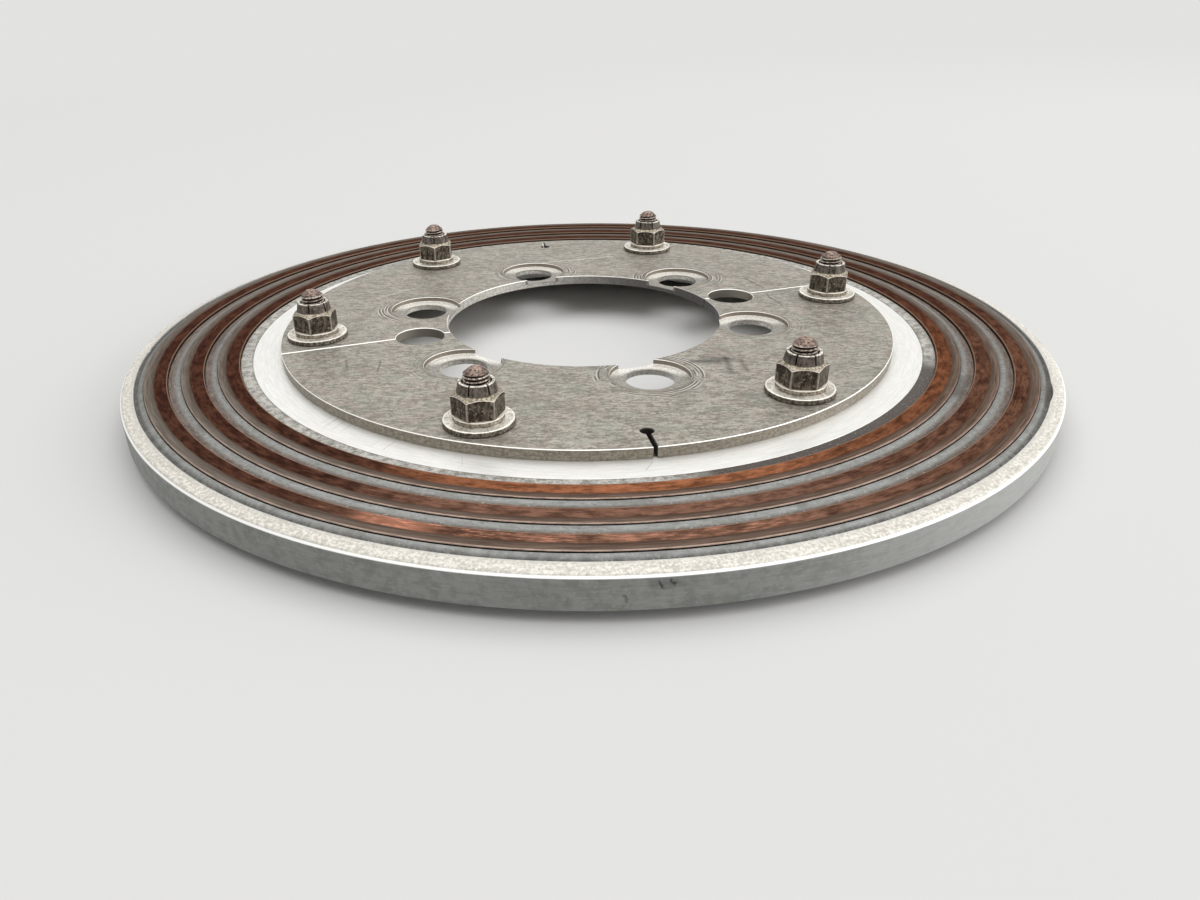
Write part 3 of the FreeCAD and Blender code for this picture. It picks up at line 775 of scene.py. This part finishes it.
# The grain runs square to the direction of the front.
along_grain = along_direction(x, y, FRONT + 90)
over_grain = along_direction(x, y, FRONT + 180)
grain = noise(vector(along_grain * 0.5, over_grain * 1.2, z), 1.0, 5.0, 0.75)
hairs = noise(vector(along_grain * 0.10, over_grain * 1.8, z * 2.0), 1.0, 5.0, 0.7)
cloud = noise(place, 0.05, 4.0)
patches = noise(vector(along_grain * 0.14, over_grain * 0.26, z), 1.0, 5.0, 0.65)
tints = noise(vector(along_grain * 0.22, over_grain * 0.22, z + 40.0), 1.0, 3.0, 0.6)
grit = noise(place, 1.4, 3.0, 0.7)
number, out, along, away = nearest_of_six(x, y, radius, STUD_RING, FIRST_STUD)
# The counterbore tool has marked the face round some of the stud holes more than round the others.
marked_most = 1 - between((number + 2).math("ABSOLUTE"), 0.2, 0.8)
marked_more = 1 - between((number - 1).math("ABSOLUTE"), 1.2, 1.8)
marked = 0.4 + 1.6 * marked_most + 0.8 * marked_more
scuffed = between(noise(vector(along * 0.12, out * 0.12, number * 3.7), 1.0, 2.0), 0.34, 0.55)
scuffed = (scuffed * marked).math("MINIMUM", 1.3)
dark_rings = 0
bright_rings = 0
for k, reach in enumerate((11.7, 12.6, 13.6, 14.6)):
    patch = between(noise(vector(along * 0.1, out * 0.1, number * 2.3 + 5.1 * k), 1.0, 2.0), 0.45, 0.55)
    dark_rings = (1 - between((away - reach).math("ABSOLUTE"), 0.08, 0.34)) * patch + dark_rings
    bright_rings = (1 - between((away - reach - 0.45).math("ABSOLUTE"), 0.05, 0.3)) * patch + bright_rings
sink_floor_level = PLATE_TOP - SINK_DEEP
in_sink = 1 - between(away, SINK_RADIUS + 0.45, SINK_RADIUS + 0.6)
in_sink = in_sink * between(z, sink_floor_level - 0.2, sink_floor_level - 0.1)
sink_floor = in_sink * (1 - between(z, sink_floor_level + 0.05, sink_floor_level + 0.3))
on_side = between(radius, PLATE_RADIUS - 0.2, PLATE_RADIUS - 0.08)
on_side = on_side * (1 - between(z, PLATE_TOP - 0.2, PLATE_TOP - 0.15))
on_face = between(z, PLATE_TOP - 0.04, PLATE_TOP - 0.01)
on_break = between(z, PLATE_TOP - 0.24, PLATE_TOP - 0.18) * (1 - on_face)
colour = tinted(
    mix(between(grain * 0.7 + grit * 0.3, 0.40, 0.60), (0.175, 0.158, 0.130), (0.455, 0.422, 0.368)),
    (hairs, 0.56, 0.70, 0.4, (0.46, 0.43, 0.38)),
    (hairs, 0.44, 0.28, 0.4, (0.17, 0.15, 0.122)),
    (patches, 0.50, 0.64, 0.42, (0.165, 0.145, 0.118)),
    (patches, 0.46, 0.34, 0.35, (0.44, 0.42, 0.37)),
    (tints, 0.53, 0.64, 0.3, (0.36, 0.285, 0.245)),
    (tints, 0.47, 0.36, 0.3, (0.255, 0.280, 0.235)),
)
colour = mix((dark_rings * scuffed * 0.9).math("MINIMUM", 0.9), colour, (0.075, 0.064, 0.052))
colour = mix((bright_rings * scuffed * 0.7).math("MINIMUM", 0.85), colour, (0.60, 0.57, 0.52))
wander_x = x + (grit - 0.5) * 1.6
wander_y = y + (patches - 0.5) * 4.0
dark_scratches = strokes(
    wander_x, wander_y, ((64.4, 15.3), (64.9, 3.3), 0.4, 0.9), ((62.6, -2.3), (61.5, -6.7), 0.42, 0.9),
    ((61.5, -6.7), (61.6, -10.6), 0.5, 0.9), ((61.6, -10.6), (60.9, -15.7), 0.4, 0.8),
    ((-73.8, -11.1), (-74.3, -17.2), 0.5, 0.6), ((-64.8, -15.5), (-67.1, -23.0), 0.5, 0.6),
    ((23.8, -47.0), (20.1, -57.7), 1.6, 0.55), ((26.6, -50.0), (24.4, -58.7), 1.2, 0.5),
    ((14.3, -47.0), (20.9, -48.8), 2.2, 0.7), ((18.0, -45.0), (25.0, -49.0), 1.8, 0.5),
    ((72.0, -18.0), (78.5, -31.0), 0.4, 0.5), ((-38.0, 62.0), (-24.0, 71.0), 0.4, 0.5),
)
light_scratches = strokes(
    wander_x, wander_y, ((4.4, 60.7), (32.0, 58.2), 0.45, 1.0), ((-60.0, 40.0), (-42.0, 48.0), 0.6, 0.5),
)
colour = mix(dark_scratches.math("MINIMUM", 1) * on_face, colour, (0.045, 0.038, 0.032))
colour = mix(light_scratches * on_face, colour, (0.66, 0.64, 0.59))
side_colour = mix(between(grit * 0.6 + hairs * 0.4, 0.35, 0.65), (0.17, 0.145, 0.112), (0.34, 0.31, 0.255))
cut_colour = mix(between(grit, 0.35, 0.65), (0.48, 0.455, 0.405), (0.78, 0.755, 0.70))
on_bore = 1 - between(radius, PLATE_BORE_RADIUS + 0.25, PLATE_BORE_RADIUS + 0.45)
# Painted shade and reflection: the bore wall is painted dark on its right side.
bore_shade_and_reflection = near_angle(x, y, radius, FRONT + 122, 100) * on_bore
cut_colour = mix(bore_shade_and_reflection * 0.9, cut_colour, (0.055, 0.050, 0.050))
colour = mix(1 - on_face, colour, cut_colour)
colour = mix(on_side, colour, side_colour)
from_dowel = ((x.math("ABSOLUTE") - STUD_RING) ** 2 + y * y) ** 0.5
in_dowel = (1 - between(from_dowel, DOWEL_RADIUS + 0.155, DOWEL_RADIUS + 0.355)) * (1 - on_face)
colour = mix(in_dowel, colour, (0.26, 0.24, 0.20))
saw_run = along_direction(x, y, KEYHOLE_ANGLE).math("ABSOLUTE")
saw_side = along_direction(x, y, KEYHOLE_ANGLE + 90).math("ABSOLUTE")
# Painted shade: the walls of the keyholes and saw cuts are painted near black.
saw_cut_shade = between(saw_run, keyhole_inside - 0.4, keyhole_inside - 0.3)
saw_cut_shade = saw_cut_shade * (1 - between(saw_side, KEYHOLE_RADIUS + 0.3, KEYHOLE_RADIUS + 0.4))
saw_cut_shade = saw_cut_shade * (1 - between(radius, PLATE_RADIUS - 0.22, PLATE_RADIUS - 0.1)) * (1 - on_face)
# Painted highlight: the broken top edges are near white, partly their bright cut and partly a painted
# highlight.
colour = mix(on_break * (1 - bore_shade_and_reflection * 0.5), colour, (0.95, 0.93, 0.885))
colour = mix(saw_cut_shade * 0.95, colour, (0.03, 0.025, 0.02))
# The counterbore floor is painted bright at the back as a painted highlight, and dull like the plate in
# front.
stud_turn = number * (math.pi / 3) + math.radians(FIRST_STUD - FRONT - 180)
ahead = over_grain - stud_turn.math("COSINE") * STUD_RING
floor_highlight_colour = mix(between(grit, 0.35, 0.65), (0.62, 0.595, 0.54), (0.88, 0.86, 0.80))
floor_dull = mix(between(grit * 0.5 + grain * 0.5, 0.38, 0.62), (0.20, 0.19, 0.165), (0.40, 0.38, 0.34))
floor_highlight = between(ahead + 0.35 * (away - STUD_HOLE_RADIUS), 1.5, 6.5) * between(away, 7.0, 7.8)
floor_colour = mix(floor_highlight, floor_dull, floor_highlight_colour)
# Painted shade: the counterbore walls are painted dark.
colour = mix(in_sink * 0.9, colour, (0.20, 0.165, 0.13))
colour = mix(sink_floor, colour, floor_colour)
# Painted highlight: the counterbore's top edge is painted near white.
colour = mix(in_sink * on_break, colour, (0.88, 0.86, 0.81))
roughness = 0.36 + 0.16 * grain + 0.1 * cloud
bump = grain * 0.5 + hairs * 0.4 - (dark_rings * scuffed + dark_scratches) * 0.5
finished(steel, colour, roughness, 0.6, bump, 0.03)

stud_places = arc(0, 0, STUD_RING, math.radians(FIRST_STUD), math.radians(FIRST_STUD + 120), 3)
bolt_places = np.array([on_circle(BOLT_RING, a) for a in BOLT_ANGLES[1:4]])
for name, turn in (("far_plate", 0.0), ("near_plate", math.pi)):
    outlines = [half_plate_outline()]
    outlines += [arc(*at, STUD_HOLE_RADIUS, 2 * math.pi, 2 * math.pi / 72, 72) for at in stud_places]
    outlines += [arc(*at, BOLT_HOLE_RADIUS, 2 * math.pi, 2 * math.pi / 48, 48) for at in bolt_places]
    outlines = [turned_flat(outline, turn) for outline in outlines]
    plate = cut_from_sheet(name, outlines, BOSS, PLATE_TOP, PLATE_EDGE_BREAK)
    cut_away(plate, [sink_cutter(at) for at in turned_flat(stud_places, turn)])
    smooth(plate, 30)
    put_on(plate, steel, f"{name}_half")


# Washers: six thick plain washers, punched and tumbled, so their top edges are round. They lie on the plate
# under the nuts, one round each bolt.
WASHER_TOP = 15.8
WASHER_RADIUS = 8.7
WASHER_HOLE_RADIUS = 3.375
washer_profile = eased([
    (WASHER_HOLE_RADIUS, PLATE_TOP, 0.1),
    (WASHER_RADIUS, PLATE_TOP, 0.15),
    (WASHER_RADIUS, WASHER_TOP, 0.5),
    (WASHER_HOLE_RADIUS, WASHER_TOP, 0.2),
], 5)


def moved_to(name, template, angle, turn):
    """A copy of a piece made on the Z axis, turned about it and set at a plate bolt."""
    mesh = template.data.copy()
    spot = Vector((*on_circle(BOLT_RING, angle), 0)) * MM
    mesh.transform(Matrix.Translation(spot) @ Matrix.Rotation(turn, 4, "Z"))
    mesh.name = name
    return put_in_scene(name, mesh)


one_washer = carried_round("one_washer", washer_profile, full_turn(96))
washers = joined("plain_washers", [moved_to("washer", one_washer, a, a) for a in BOLT_ANGLES])
bpy.data.objects.remove(one_washer)
smooth(washers, 40)
washer_steel, place = new_finish("plated washer steel")
x, y, z, radius = axes(place)
*_, away = nearest_of_six(x, y, radius, BOLT_RING, FIRST_BOLT)
cloud = noise(place, 0.35, 4.0)
grit = noise(place, 1.3, 3.0, 0.7)
colour = mix(between(cloud * 0.4 + grit * 0.6, 0.40, 0.58), (0.42, 0.385, 0.32), (0.94, 0.90, 0.82))
colour = tinted(colour, (grit, 0.56, 0.68, 0.6, (0.14, 0.115, 0.09)))
rim_of_washer = between(away, WASHER_RADIUS - 0.16, WASHER_RADIUS - 0.06)
colour = mix(rim_of_washer, colour, mix(between(grit, 0.4, 0.6), (0.06, 0.05, 0.038), (0.26, 0.23, 0.185)))
# Painted highlight: the rounded top edge is painted near white.
round_edge_highlight = between(away, WASHER_RADIUS - 0.62, WASHER_RADIUS - 0.5)
round_edge_highlight = round_edge_highlight * (1 - between(away, WASHER_RADIUS - 0.22, WASHER_RADIUS - 0.12))
colour = mix(round_edge_highlight * 0.75, colour, (0.95, 0.92, 0.85))
# Painted shade: the foot of each washer, where it sits on the plate, is painted near black.
colour = mix(1 - between(z, PLATE_TOP + 0.08, PLATE_TOP + 0.3), colour, (0.03, 0.024, 0.018))
finished(washer_steel, colour, 0.34 + 0.2 * grit, 0.6, grit, 0.05)
put_on(washers, washer_steel, "nut_washers")


# Lock nuts: all-metal nuts with a round bearing face, a hexagon and a collar that is sawn in six and pressed
# in to grip the thread. They are plated and have gone brown on the flats, and their edges are light, partly
# kept bright by the wrench and partly painted highlight. Each stands as it was left when tightened.
NUT_TURNS = (2, -23, 23, 17, 0, -18)
NUT_FACE_RADIUS = 6.2
NUT_FACE_HIGH = 1.25
NUT_FLATS = 11.11
HEX_TOP = 6.85
COLLAR_FOOT_RADIUS = 4.85
COLLAR_TOP_RADIUS = 4.35
COLLAR_TOP = 9.45
NUT_BORE_RADIUS = 3.22
CONE_RISE = 0.95
COLLAR_SAW = 0.45
COLLAR_SAW_DEEP = 2.4
COLLAR_LAND_RADIUS = 3.7


def hexagon_radius(angle, flats):
    """Distance from the middle to a hexagon's side, with a corner on the X axis."""
    return flats / 2 / np.cos((angle % (math.pi / 3)) - math.pi / 6)


def cone_edge(side):
    """Height of the cone that chamfers the hexagon, where it meets a side at a distance from the middle."""
    return HEX_TOP - CONE_RISE * (side - COLLAR_FOOT_RADIUS) / (NUT_FLATS / math.sqrt(3) - COLLAR_FOOT_RADIUS)


nut_angle = full_turn(96)
hexagon = hexagon_radius(nut_angle, NUT_FLATS)
nut_rows = [
    (NUT_BORE_RADIUS + 0.25, 0.0),
    (NUT_FACE_RADIUS - 0.15, 0.0),
    (NUT_FACE_RADIUS, 0.15),
    (NUT_FACE_RADIUS, NUT_FACE_HIGH - 0.18),
    (NUT_FACE_RADIUS - 0.14, NUT_FACE_HIGH - 0.02),
    (np.minimum(hexagon - 0.12, NUT_FACE_RADIUS - 0.1), NUT_FACE_HIGH),
    (np.minimum(hexagon, NUT_FACE_RADIUS + 0.1), NUT_FACE_HIGH + 0.12),
    (hexagon, NUT_FACE_HIGH + 0.3),
    (hexagon, cone_edge(hexagon) - 0.12),
    (hexagon - 0.05, cone_edge(hexagon)),
]
for t in (0.12, 0.4, 0.7, 0.93):
    up_the_cone = cone_edge(hexagon) + (HEX_TOP - cone_edge(hexagon)) * t
    nut_rows.append((hexagon + (COLLAR_FOOT_RADIUS - hexagon) * t, up_the_cone))
nut_rows += [
    (COLLAR_FOOT_RADIUS - 0.02, HEX_TOP + 0.08),
    (COLLAR_TOP_RADIUS + 0.03, COLLAR_TOP - 0.16),
    (COLLAR_TOP_RADIUS - 0.04, COLLAR_TOP - 0.04),
    (COLLAR_TOP_RADIUS - 0.14, COLLAR_TOP),
    (COLLAR_LAND_RADIUS, COLLAR_TOP),
    (NUT_BORE_RADIUS, COLLAR_TOP - 0.6),
    (NUT_BORE_RADIUS, 0.25),
]
one_nut = carried_round("one_nut", [(radius, height + WASHER_TOP) for radius, height in nut_rows], nut_angle)
blade = np.array([[-7, -COLLAR_SAW / 2], [7, -COLLAR_SAW / 2], [7, COLLAR_SAW / 2], [-7, COLLAR_SAW / 2]])
for a in np.radians((0, 60, 120)):
    collar_top = WASHER_TOP + COLLAR_TOP
    cut_away(one_nut, [raised_cutter(turned_flat(blade, a), collar_top - COLLAR_SAW_DEEP, collar_top + 1)])

# The corners and the rim of the hexagon are light, partly where the wrench and the socket keep the plating
# bright
# and partly as painted highlight: each point gets a share that falls from 1 on such an edge to 0 at the next
# points of the grid.
place_on_nut = points_of(one_nut) - np.array([0, 0, WASHER_TOP])
nut_turn = np.arctan2(place_on_nut[:, 1], place_on_nut[:, 0])
nut_out = np.hypot(place_on_nut[:, 0], place_on_nut[:, 1])
side_there = hexagon_radius(nut_turn, NUT_FLATS)
off_cone_edge = np.abs(place_on_nut[:, 2] - cone_edge(side_there))
off_corner = np.abs((np.degrees(nut_turn) + 30) % 60 - 30)
on_hexagon = (nut_out > side_there - 0.1) & (place_on_nut[:, 2] > NUT_FACE_HIGH + 0.2)
rim_wear_and_highlight = (np.abs(nut_out - side_there + 0.05) < 0.03) & (off_cone_edge < 0.03)
corner_wear_and_highlight = on_hexagon * np.clip(1 - off_corner / 3, 0, 1) * 0.45
wear_and_highlight = one_nut.data.attributes.new("wear_and_highlight", "FLOAT", "POINT")
wear_and_highlight.data.foreach_set("value", np.maximum(rim_wear_and_highlight, corner_wear_and_highlight).astype(np.float32))

cadmium, place = new_finish("plated nut steel")
x, y, z, radius = axes(place)
wear_and_highlight_share = place.node("Attribute", {"attribute_name": "wear_and_highlight"}, {}, output="Fac")
*_, away = nearest_of_six(x, y, radius, BOLT_RING, FIRST_BOLT)
height = z - WASHER_TOP
cloud = noise(place, 0.35, 4.0)
grit = noise(place, 1.3, 3.0, 0.7)
streaks = noise(vector(x * 1.1, y * 1.1, z * 0.35), 1.0, 4.0, 0.7)
flats = mix(between(cloud * 0.4 + streaks * 0.6, 0.44, 0.62), (0.028, 0.019, 0.012), (0.18, 0.15, 0.115))
flats = tinted(flats, (grit, 0.54, 0.66, 0.7, (0.40, 0.355, 0.28)))
gold = mix(between(grit, 0.40, 0.62), (0.155, 0.125, 0.085), (0.50, 0.44, 0.34))
collar = mix(between(streaks * 0.6 + grit * 0.4, 0.38, 0.62), (0.035, 0.027, 0.020), (0.20, 0.17, 0.14))
disc = mix(between(grit, 0.38, 0.62), (0.14, 0.11, 0.08), (0.42, 0.375, 0.31))
on_disc = 1 - between(height, NUT_FACE_HIGH - 0.08, NUT_FACE_HIGH - 0.02)
on_cone = between(height, HEX_TOP - CONE_RISE, HEX_TOP - CONE_RISE + 0.1) * (1 - between(away, 6.2, 6.6))
on_cone = on_cone * (1 - on_disc) * between(height + (away - NUT_FLATS / 2) * 0.55, 6.30, 6.45)
on_collar = 1 - between(away, COLLAR_FOOT_RADIUS, COLLAR_FOOT_RADIUS + 0.1)
on_collar = on_collar * between(height, HEX_TOP - 0.03, HEX_TOP + 0.04)
on_disc_edge = between(height, NUT_FACE_HIGH - 0.26, NUT_FACE_HIGH - 0.18)
on_disc_edge = on_disc_edge * (1 - between(height, NUT_FACE_HIGH + 0.02, NUT_FACE_HIGH + 0.1))
on_land = between(height, COLLAR_TOP - 0.16, COLLAR_TOP - 0.10)
colour = mix(on_cone, flats, gold)
colour = mix(on_collar, colour, collar)
colour = mix(on_disc, colour, disc)
colour = mix(on_disc_edge * 0.85, colour, (0.92, 0.87, 0.77))
colour = mix(on_land, colour, mix(between(grit, 0.35, 0.6), (0.35, 0.31, 0.25), (0.90, 0.86, 0.78)))
# Partly painted highlight: the hexagon's corners and rim are lightened.
colour = mix((wear_and_highlight_share * (0.6 + 0.7 * grit)).math("MINIMUM", 1), colour, (0.90, 0.85, 0.75))
# Painted shade: the bore inside the collar is painted near black.
nut_bore_shade = (1 - between(away, NUT_BORE_RADIUS + 0.08, COLLAR_LAND_RADIUS - 0.05)) * between(height, 5, 6)
colour = mix(nut_bore_shade, colour, (0.02, 0.015, 0.011))
finished(cadmium, colour, 0.36 + 0.2 * grit, 0.5, grit, 0.05)
for k, (angle, turn) in enumerate(zip(BOLT_ANGLES, NUT_TURNS), start=1):
    nut = moved_to(f"collar_nut_{k}", one_nut, angle, angle + math.radians(turn))
    smooth(nut, 25)
    put_on(nut, cadmium, f"lock_nut_{k}")
bpy.data.objects.remove(one_nut)


# Plate bolts: six hexagon bolts pushed up through the flange and the plate, with their heads in the relief
# beneath. Two and a half turns of thread stand above each nut, and the end is chamfered and has gone brown.
BOLT_RADIUS = 3.175
BOLT_TIP = 28.4
TIP_RADIUS = 1.45
TIP_START = 27.0
PITCH = 0.907
THREAD_DEEP = 0.52
THREAD_LOW = 23.6
HEAD_HIGH = 3.97
HEAD_FLATS = 11.11
HEAD_CHAMFER = 0.25


def thread_radius(height, angle, pitch, radius, deep, root, steep):
    """Radius of a thread: a wave that climbs one pitch a turn, flat in its root and on its crest."""
    wave = np.abs(((height / pitch - angle / (2 * math.pi)) % 1) * 2 - 1)
    return radius - deep * (1 - np.clip((wave - root) * steep, 0, 1))


thread_height = np.linspace(THREAD_LOW, BOLT_TIP - 0.02, 74)[:, None]
bolt_thread = thread_radius(thread_height, nut_angle, PITCH, BOLT_RADIUS, THREAD_DEEP, 0.22, 1.9)
tip_slope = (BOLT_RADIUS - TIP_RADIUS) / (BOLT_TIP - TIP_START)
bolt_thread = np.minimum(bolt_thread, TIP_RADIUS + (BOLT_TIP - thread_height) * tip_slope)
head_hexagon = hexagon_radius(nut_angle, HEAD_FLATS)
head_low = FLANGE_UNDER - HEAD_HIGH
one_bolt = carried_round("one_bolt", [
    (0.0, head_low),
    (HEAD_FLATS / 2 - HEAD_CHAMFER, head_low),
    (head_hexagon, head_low + (head_hexagon - HEAD_FLATS / 2 + HEAD_CHAMFER) * 0.55),
    (head_hexagon, FLANGE_UNDER - 0.15),
    (head_hexagon - 0.15, FLANGE_UNDER),
    (BOLT_RADIUS + 0.1, FLANGE_UNDER),
    (BOLT_RADIUS, FLANGE_UNDER + 0.1),
    (BOLT_RADIUS, THREAD_LOW - 0.4),
    (bolt_thread, thread_height),
    (TIP_RADIUS - 0.12, BOLT_TIP),
    (0.0, BOLT_TIP),
], nut_angle, False)
bolt_steel, place = new_finish("plated bolt steel")
x, y, z, radius = axes(place)
*_, away = nearest_of_six(x, y, radius, BOLT_RING, FIRST_BOLT)
cloud = noise(place, 0.8, 3.0)
grit = noise(place, 1.6, 3.0, 0.7)
colour = mix(between(cloud, 0.4, 0.6), (0.20, 0.165, 0.135), (0.34, 0.29, 0.24))
colour = tinted(colour, (grit, 0.55, 0.7, 0.5, (0.11, 0.075, 0.055)))
in_thread = between(z, THREAD_LOW, THREAD_LOW + 0.5) * (1 - between(z, TIP_START - 0.1, TIP_START + 0.3))
# Painted shade and highlight: the thread roots are painted near black as shade, and the crests lighter as
# highlight.
crest_highlight_colour = mix(between(grit, 0.38, 0.62), (0.16, 0.115, 0.09), (0.66, 0.57, 0.50))
out_of_root = between(away, BOLT_RADIUS - 0.34, BOLT_RADIUS - 0.08)
thread_shade_and_highlight = mix(out_of_root, (0.016, 0.010, 0.008), crest_highlight_colour)
colour = mix(in_thread, colour, thread_shade_and_highlight)
tip_colour = mix(between(grit, 0.40, 0.60), (0.060, 0.038, 0.030), (0.28, 0.20, 0.165))
colour = mix(between(z, TIP_START + 0.1, TIP_START + 0.3), colour, tip_colour)
end_colour = mix(between(grit, 0.40, 0.62), (0.13, 0.08, 0.062), (0.50, 0.36, 0.30))
colour = mix(between(z, BOLT_TIP - 0.12, BOLT_TIP - 0.04), colour, end_colour)
finished(bolt_steel, colour, 0.34 + 0.2 * grit, 0.6, grit, 0.05)
for k, angle in enumerate(BOLT_ANGLES, start=1):
    bolt = moved_to(f"hexagon_bolt_{k}", one_bolt, angle, angle + k)
    smooth(bolt, 30)
    put_on(bolt, bolt_steel, f"plate_bolt_{k}")
bpy.data.objects.remove(one_bolt)


# Terminals: nine brass studs brazed under the rings, three at each station, down through the potting and the
# windows. Each has the nut for its lead run up to the potting.
TERMINAL_PITCH = 0.8
TERMINAL_NUT_HIGH = 3.2
TERMINAL_FLATS = 8.73
TERMINAL_EASE = 0.2
TERMINAL_POINT = 0.55
terminal_angle = full_turn(72)
nut_low = FLOOR - TERMINAL_NUT_HIGH
stud_height = np.linspace(0.25, nut_low + 0.3, 42)[:, None]
stud_thread = thread_radius(stud_height, terminal_angle, TERMINAL_PITCH, STUD_RADIUS, 0.42, 0.2, 1.8)
stud_thread = np.minimum(stud_thread, STUD_RADIUS - TERMINAL_POINT + stud_height * 0.9)
nut_side = hexagon_radius(terminal_angle, TERMINAL_FLATS)
chamfer = (nut_side - TERMINAL_FLATS / 2 + TERMINAL_EASE) * 0.55
terminal_profile = [
    (0.0, 0.0),
    (STUD_RADIUS - TERMINAL_POINT, 0.0),
    (stud_thread, stud_height),
    (STUD_RADIUS + 0.05, nut_low + 0.3),
    (STUD_RADIUS + 0.35, nut_low),
    (TERMINAL_FLATS / 2 - TERMINAL_EASE, nut_low),
    (nut_side, nut_low + chamfer),
    (nut_side, FLOOR - chamfer),
    (TERMINAL_FLATS / 2 - TERMINAL_EASE, FLOOR),
    (STUD_RADIUS, FLOOR),
    (STUD_RADIUS, RING_UNDER),
    (0.0, RING_UNDER),
]
brass, place = new_finish("tinned brass")
cloud = noise(place, 0.5, 4.0)
specks = noise(place, 2.4, 3.0, 0.7)
colour = mix(between(cloud, 0.35, 0.65), (0.36, 0.27, 0.13), (0.55, 0.44, 0.24))
colour = tinted(colour, (specks, 0.5, 0.7, 0.6, (0.16, 0.12, 0.07)))
finished(brass, colour, 0.3 + 0.25 * specks, 0.9, specks, 0.04)
for name, middle in zip(RING_NAMES, ring_middles):
    studs = []
    for a in STATION_ANGLES:
        # The profile itself changes with the angle, so it is made about the middle and turned as a whole.
        stud = carried_round("stud", terminal_profile, terminal_angle, False)
        spot = Vector((*on_circle(middle, a), 0)) * MM
        stud.data.transform(Matrix.Translation(spot) @ Matrix.Rotation(a + math.radians(30), 4, "Z"))
        studs.append(stud)
    terminals = joined(f"{name}_terminal_studs", studs)
    smooth(terminals, 50)
    put_on(terminals, brass, f"{name}_ring_terminals")


# Studio: a pale floor that keeps the part's shadow and goes over into a backdrop of the same colour, a large
# soft light overhead, a soft light from the right, like a window, and a plain grey surround.
FLOOR_REACH = 30 / MM
BACKGROUND = (0.765, 0.765, 0.745, 1)
floor_corners = np.array([(-1, -1, 0), (1, -1, 0), (1, 1, 0), (-1, 1, 0)]) * FLOOR_REACH
floor = mesh_piece("studio_floor", floor_corners, [(0, 1, 2, 3)])
paper, place = new_finish("studio paper")
*_, radius = axes(place)
shader = paper.node_tree.nodes["Principled BSDF"]
shader.inputs["Base Color"].default_value = (0.62, 0.615, 0.60, 1)
shader.inputs["Roughness"].default_value = 0.9
shader.inputs["Specular IOR Level"].default_value = 0.0


def seen_directly(tree):
    """1 for what the camera sees, also in metal and through glass, and 0 for the light on the part."""
    rays = tree.nodes.new("ShaderNodeLightPath")
    sorts = [Socket(tree, rays.outputs[f"Is {sort} Ray"]) for sort in ("Camera", "Glossy", "Transmission")]
    return (sorts[0] + sorts[1] + sorts[2]).math("MINIMUM", 1)


far_off = between(radius, 500, 1500) * seen_directly(paper.node_tree)
glow = radius.node("Emission", {}, {"Color": BACKGROUND})
paper_shader = Socket(paper.node_tree, shader.outputs[0])
blend = radius.node("MixShader", {}, {0: far_off, 1: paper_shader, 2: glow})
paper.node_tree.links.new(blend.output, paper.node_tree.nodes["Material Output"].inputs["Surface"])
floor.data.materials.append(paper)


def soft_light(name, size, power, at):
    """A square lamp that faces the part and isn't seen itself; its size and place are in metres."""
    lamp = bpy.data.lights.new(name, "AREA")
    lamp.size = size
    lamp.energy = power
    light = put_in_scene(name, lamp)
    light.location = at
    light.rotation_euler = (-Vector(at)).to_track_quat("-Z", "Y").to_euler()
    light.visible_camera = False


soft_light("overhead_softbox", 7.0, 250.0, (0.2, 0.2, 4.5))
soft_light("window_softbox", 2.4, 50.0, (2.7, -1.3, 1.0))
world = bpy.data.worlds.new("studio")
bpy.context.scene.world = world
world.use_nodes = True
surround = world.node_tree.nodes["Background"]
surround.inputs["Color"].default_value = (0.80, 0.81, 0.82, 1)
surround.inputs["Strength"].default_value = 0.55
seen = seen_directly(world.node_tree)
backdrop = seen.node("Background", {}, {"Color": BACKGROUND})
blend = seen.node("MixShader", {}, {0: seen, 1: Socket(world.node_tree, surround.outputs[0]), 2: backdrop})
world.node_tree.links.new(blend.output, world.node_tree.nodes["World Output"].inputs["Surface"])

# Camera: low over the front edge, close to the part, as the photo was taken. It aims at the middle of the rim
# and is then turned a little, and the frame is shifted as the photo was cropped. Its angles are in radians.
CAMERA_DISTANCE = 2.12317 * HOUSING_RADIUS
CAMERA_ELEVATION = 0.34185
AIM_TURNS = ((0.00912, "Z"), (-0.15354, "X"), (0.03965, "Y"))
PHOTO_TURN = math.radians(-20.2)
FOCAL_LENGTH = 901 / 1200
back_in_photo = Vector((0, -math.cos(CAMERA_ELEVATION), math.sin(CAMERA_ELEVATION)))
right = Vector((1, 0, 0))
roll, pitch, yaw = (Matrix.Rotation(angle, 3, axis) for angle, axis in AIM_TURNS)
aim = roll @ pitch @ yaw @ Matrix((right, right.cross(-back_in_photo), -back_in_photo))
turned_frame = Matrix.Rotation(PHOTO_TURN, 3, "Z")
camera_axes = Matrix((turned_frame @ aim[0], turned_frame @ aim[1], turned_frame @ -aim[2])).transposed()
camera_place = turned_frame @ (back_in_photo * CAMERA_DISTANCE) + Vector((0, 0, RIM))
camera_data = bpy.data.cameras.new("camera")
camera_data.sensor_width = 36
camera_data.lens = camera_data.sensor_width * FOCAL_LENGTH
camera_data.shift_x = 0.0433
camera_data.shift_y = 0.0132
camera_data.clip_start = 0.01
camera = put_in_scene("camera", camera_data)
camera.matrix_world = Matrix.Translation(camera_place * MM) @ camera_axes.to_4x4()
bpy.context.scene.camera = camera
bpy.context.scene.view_settings.view_transform = "Standard"
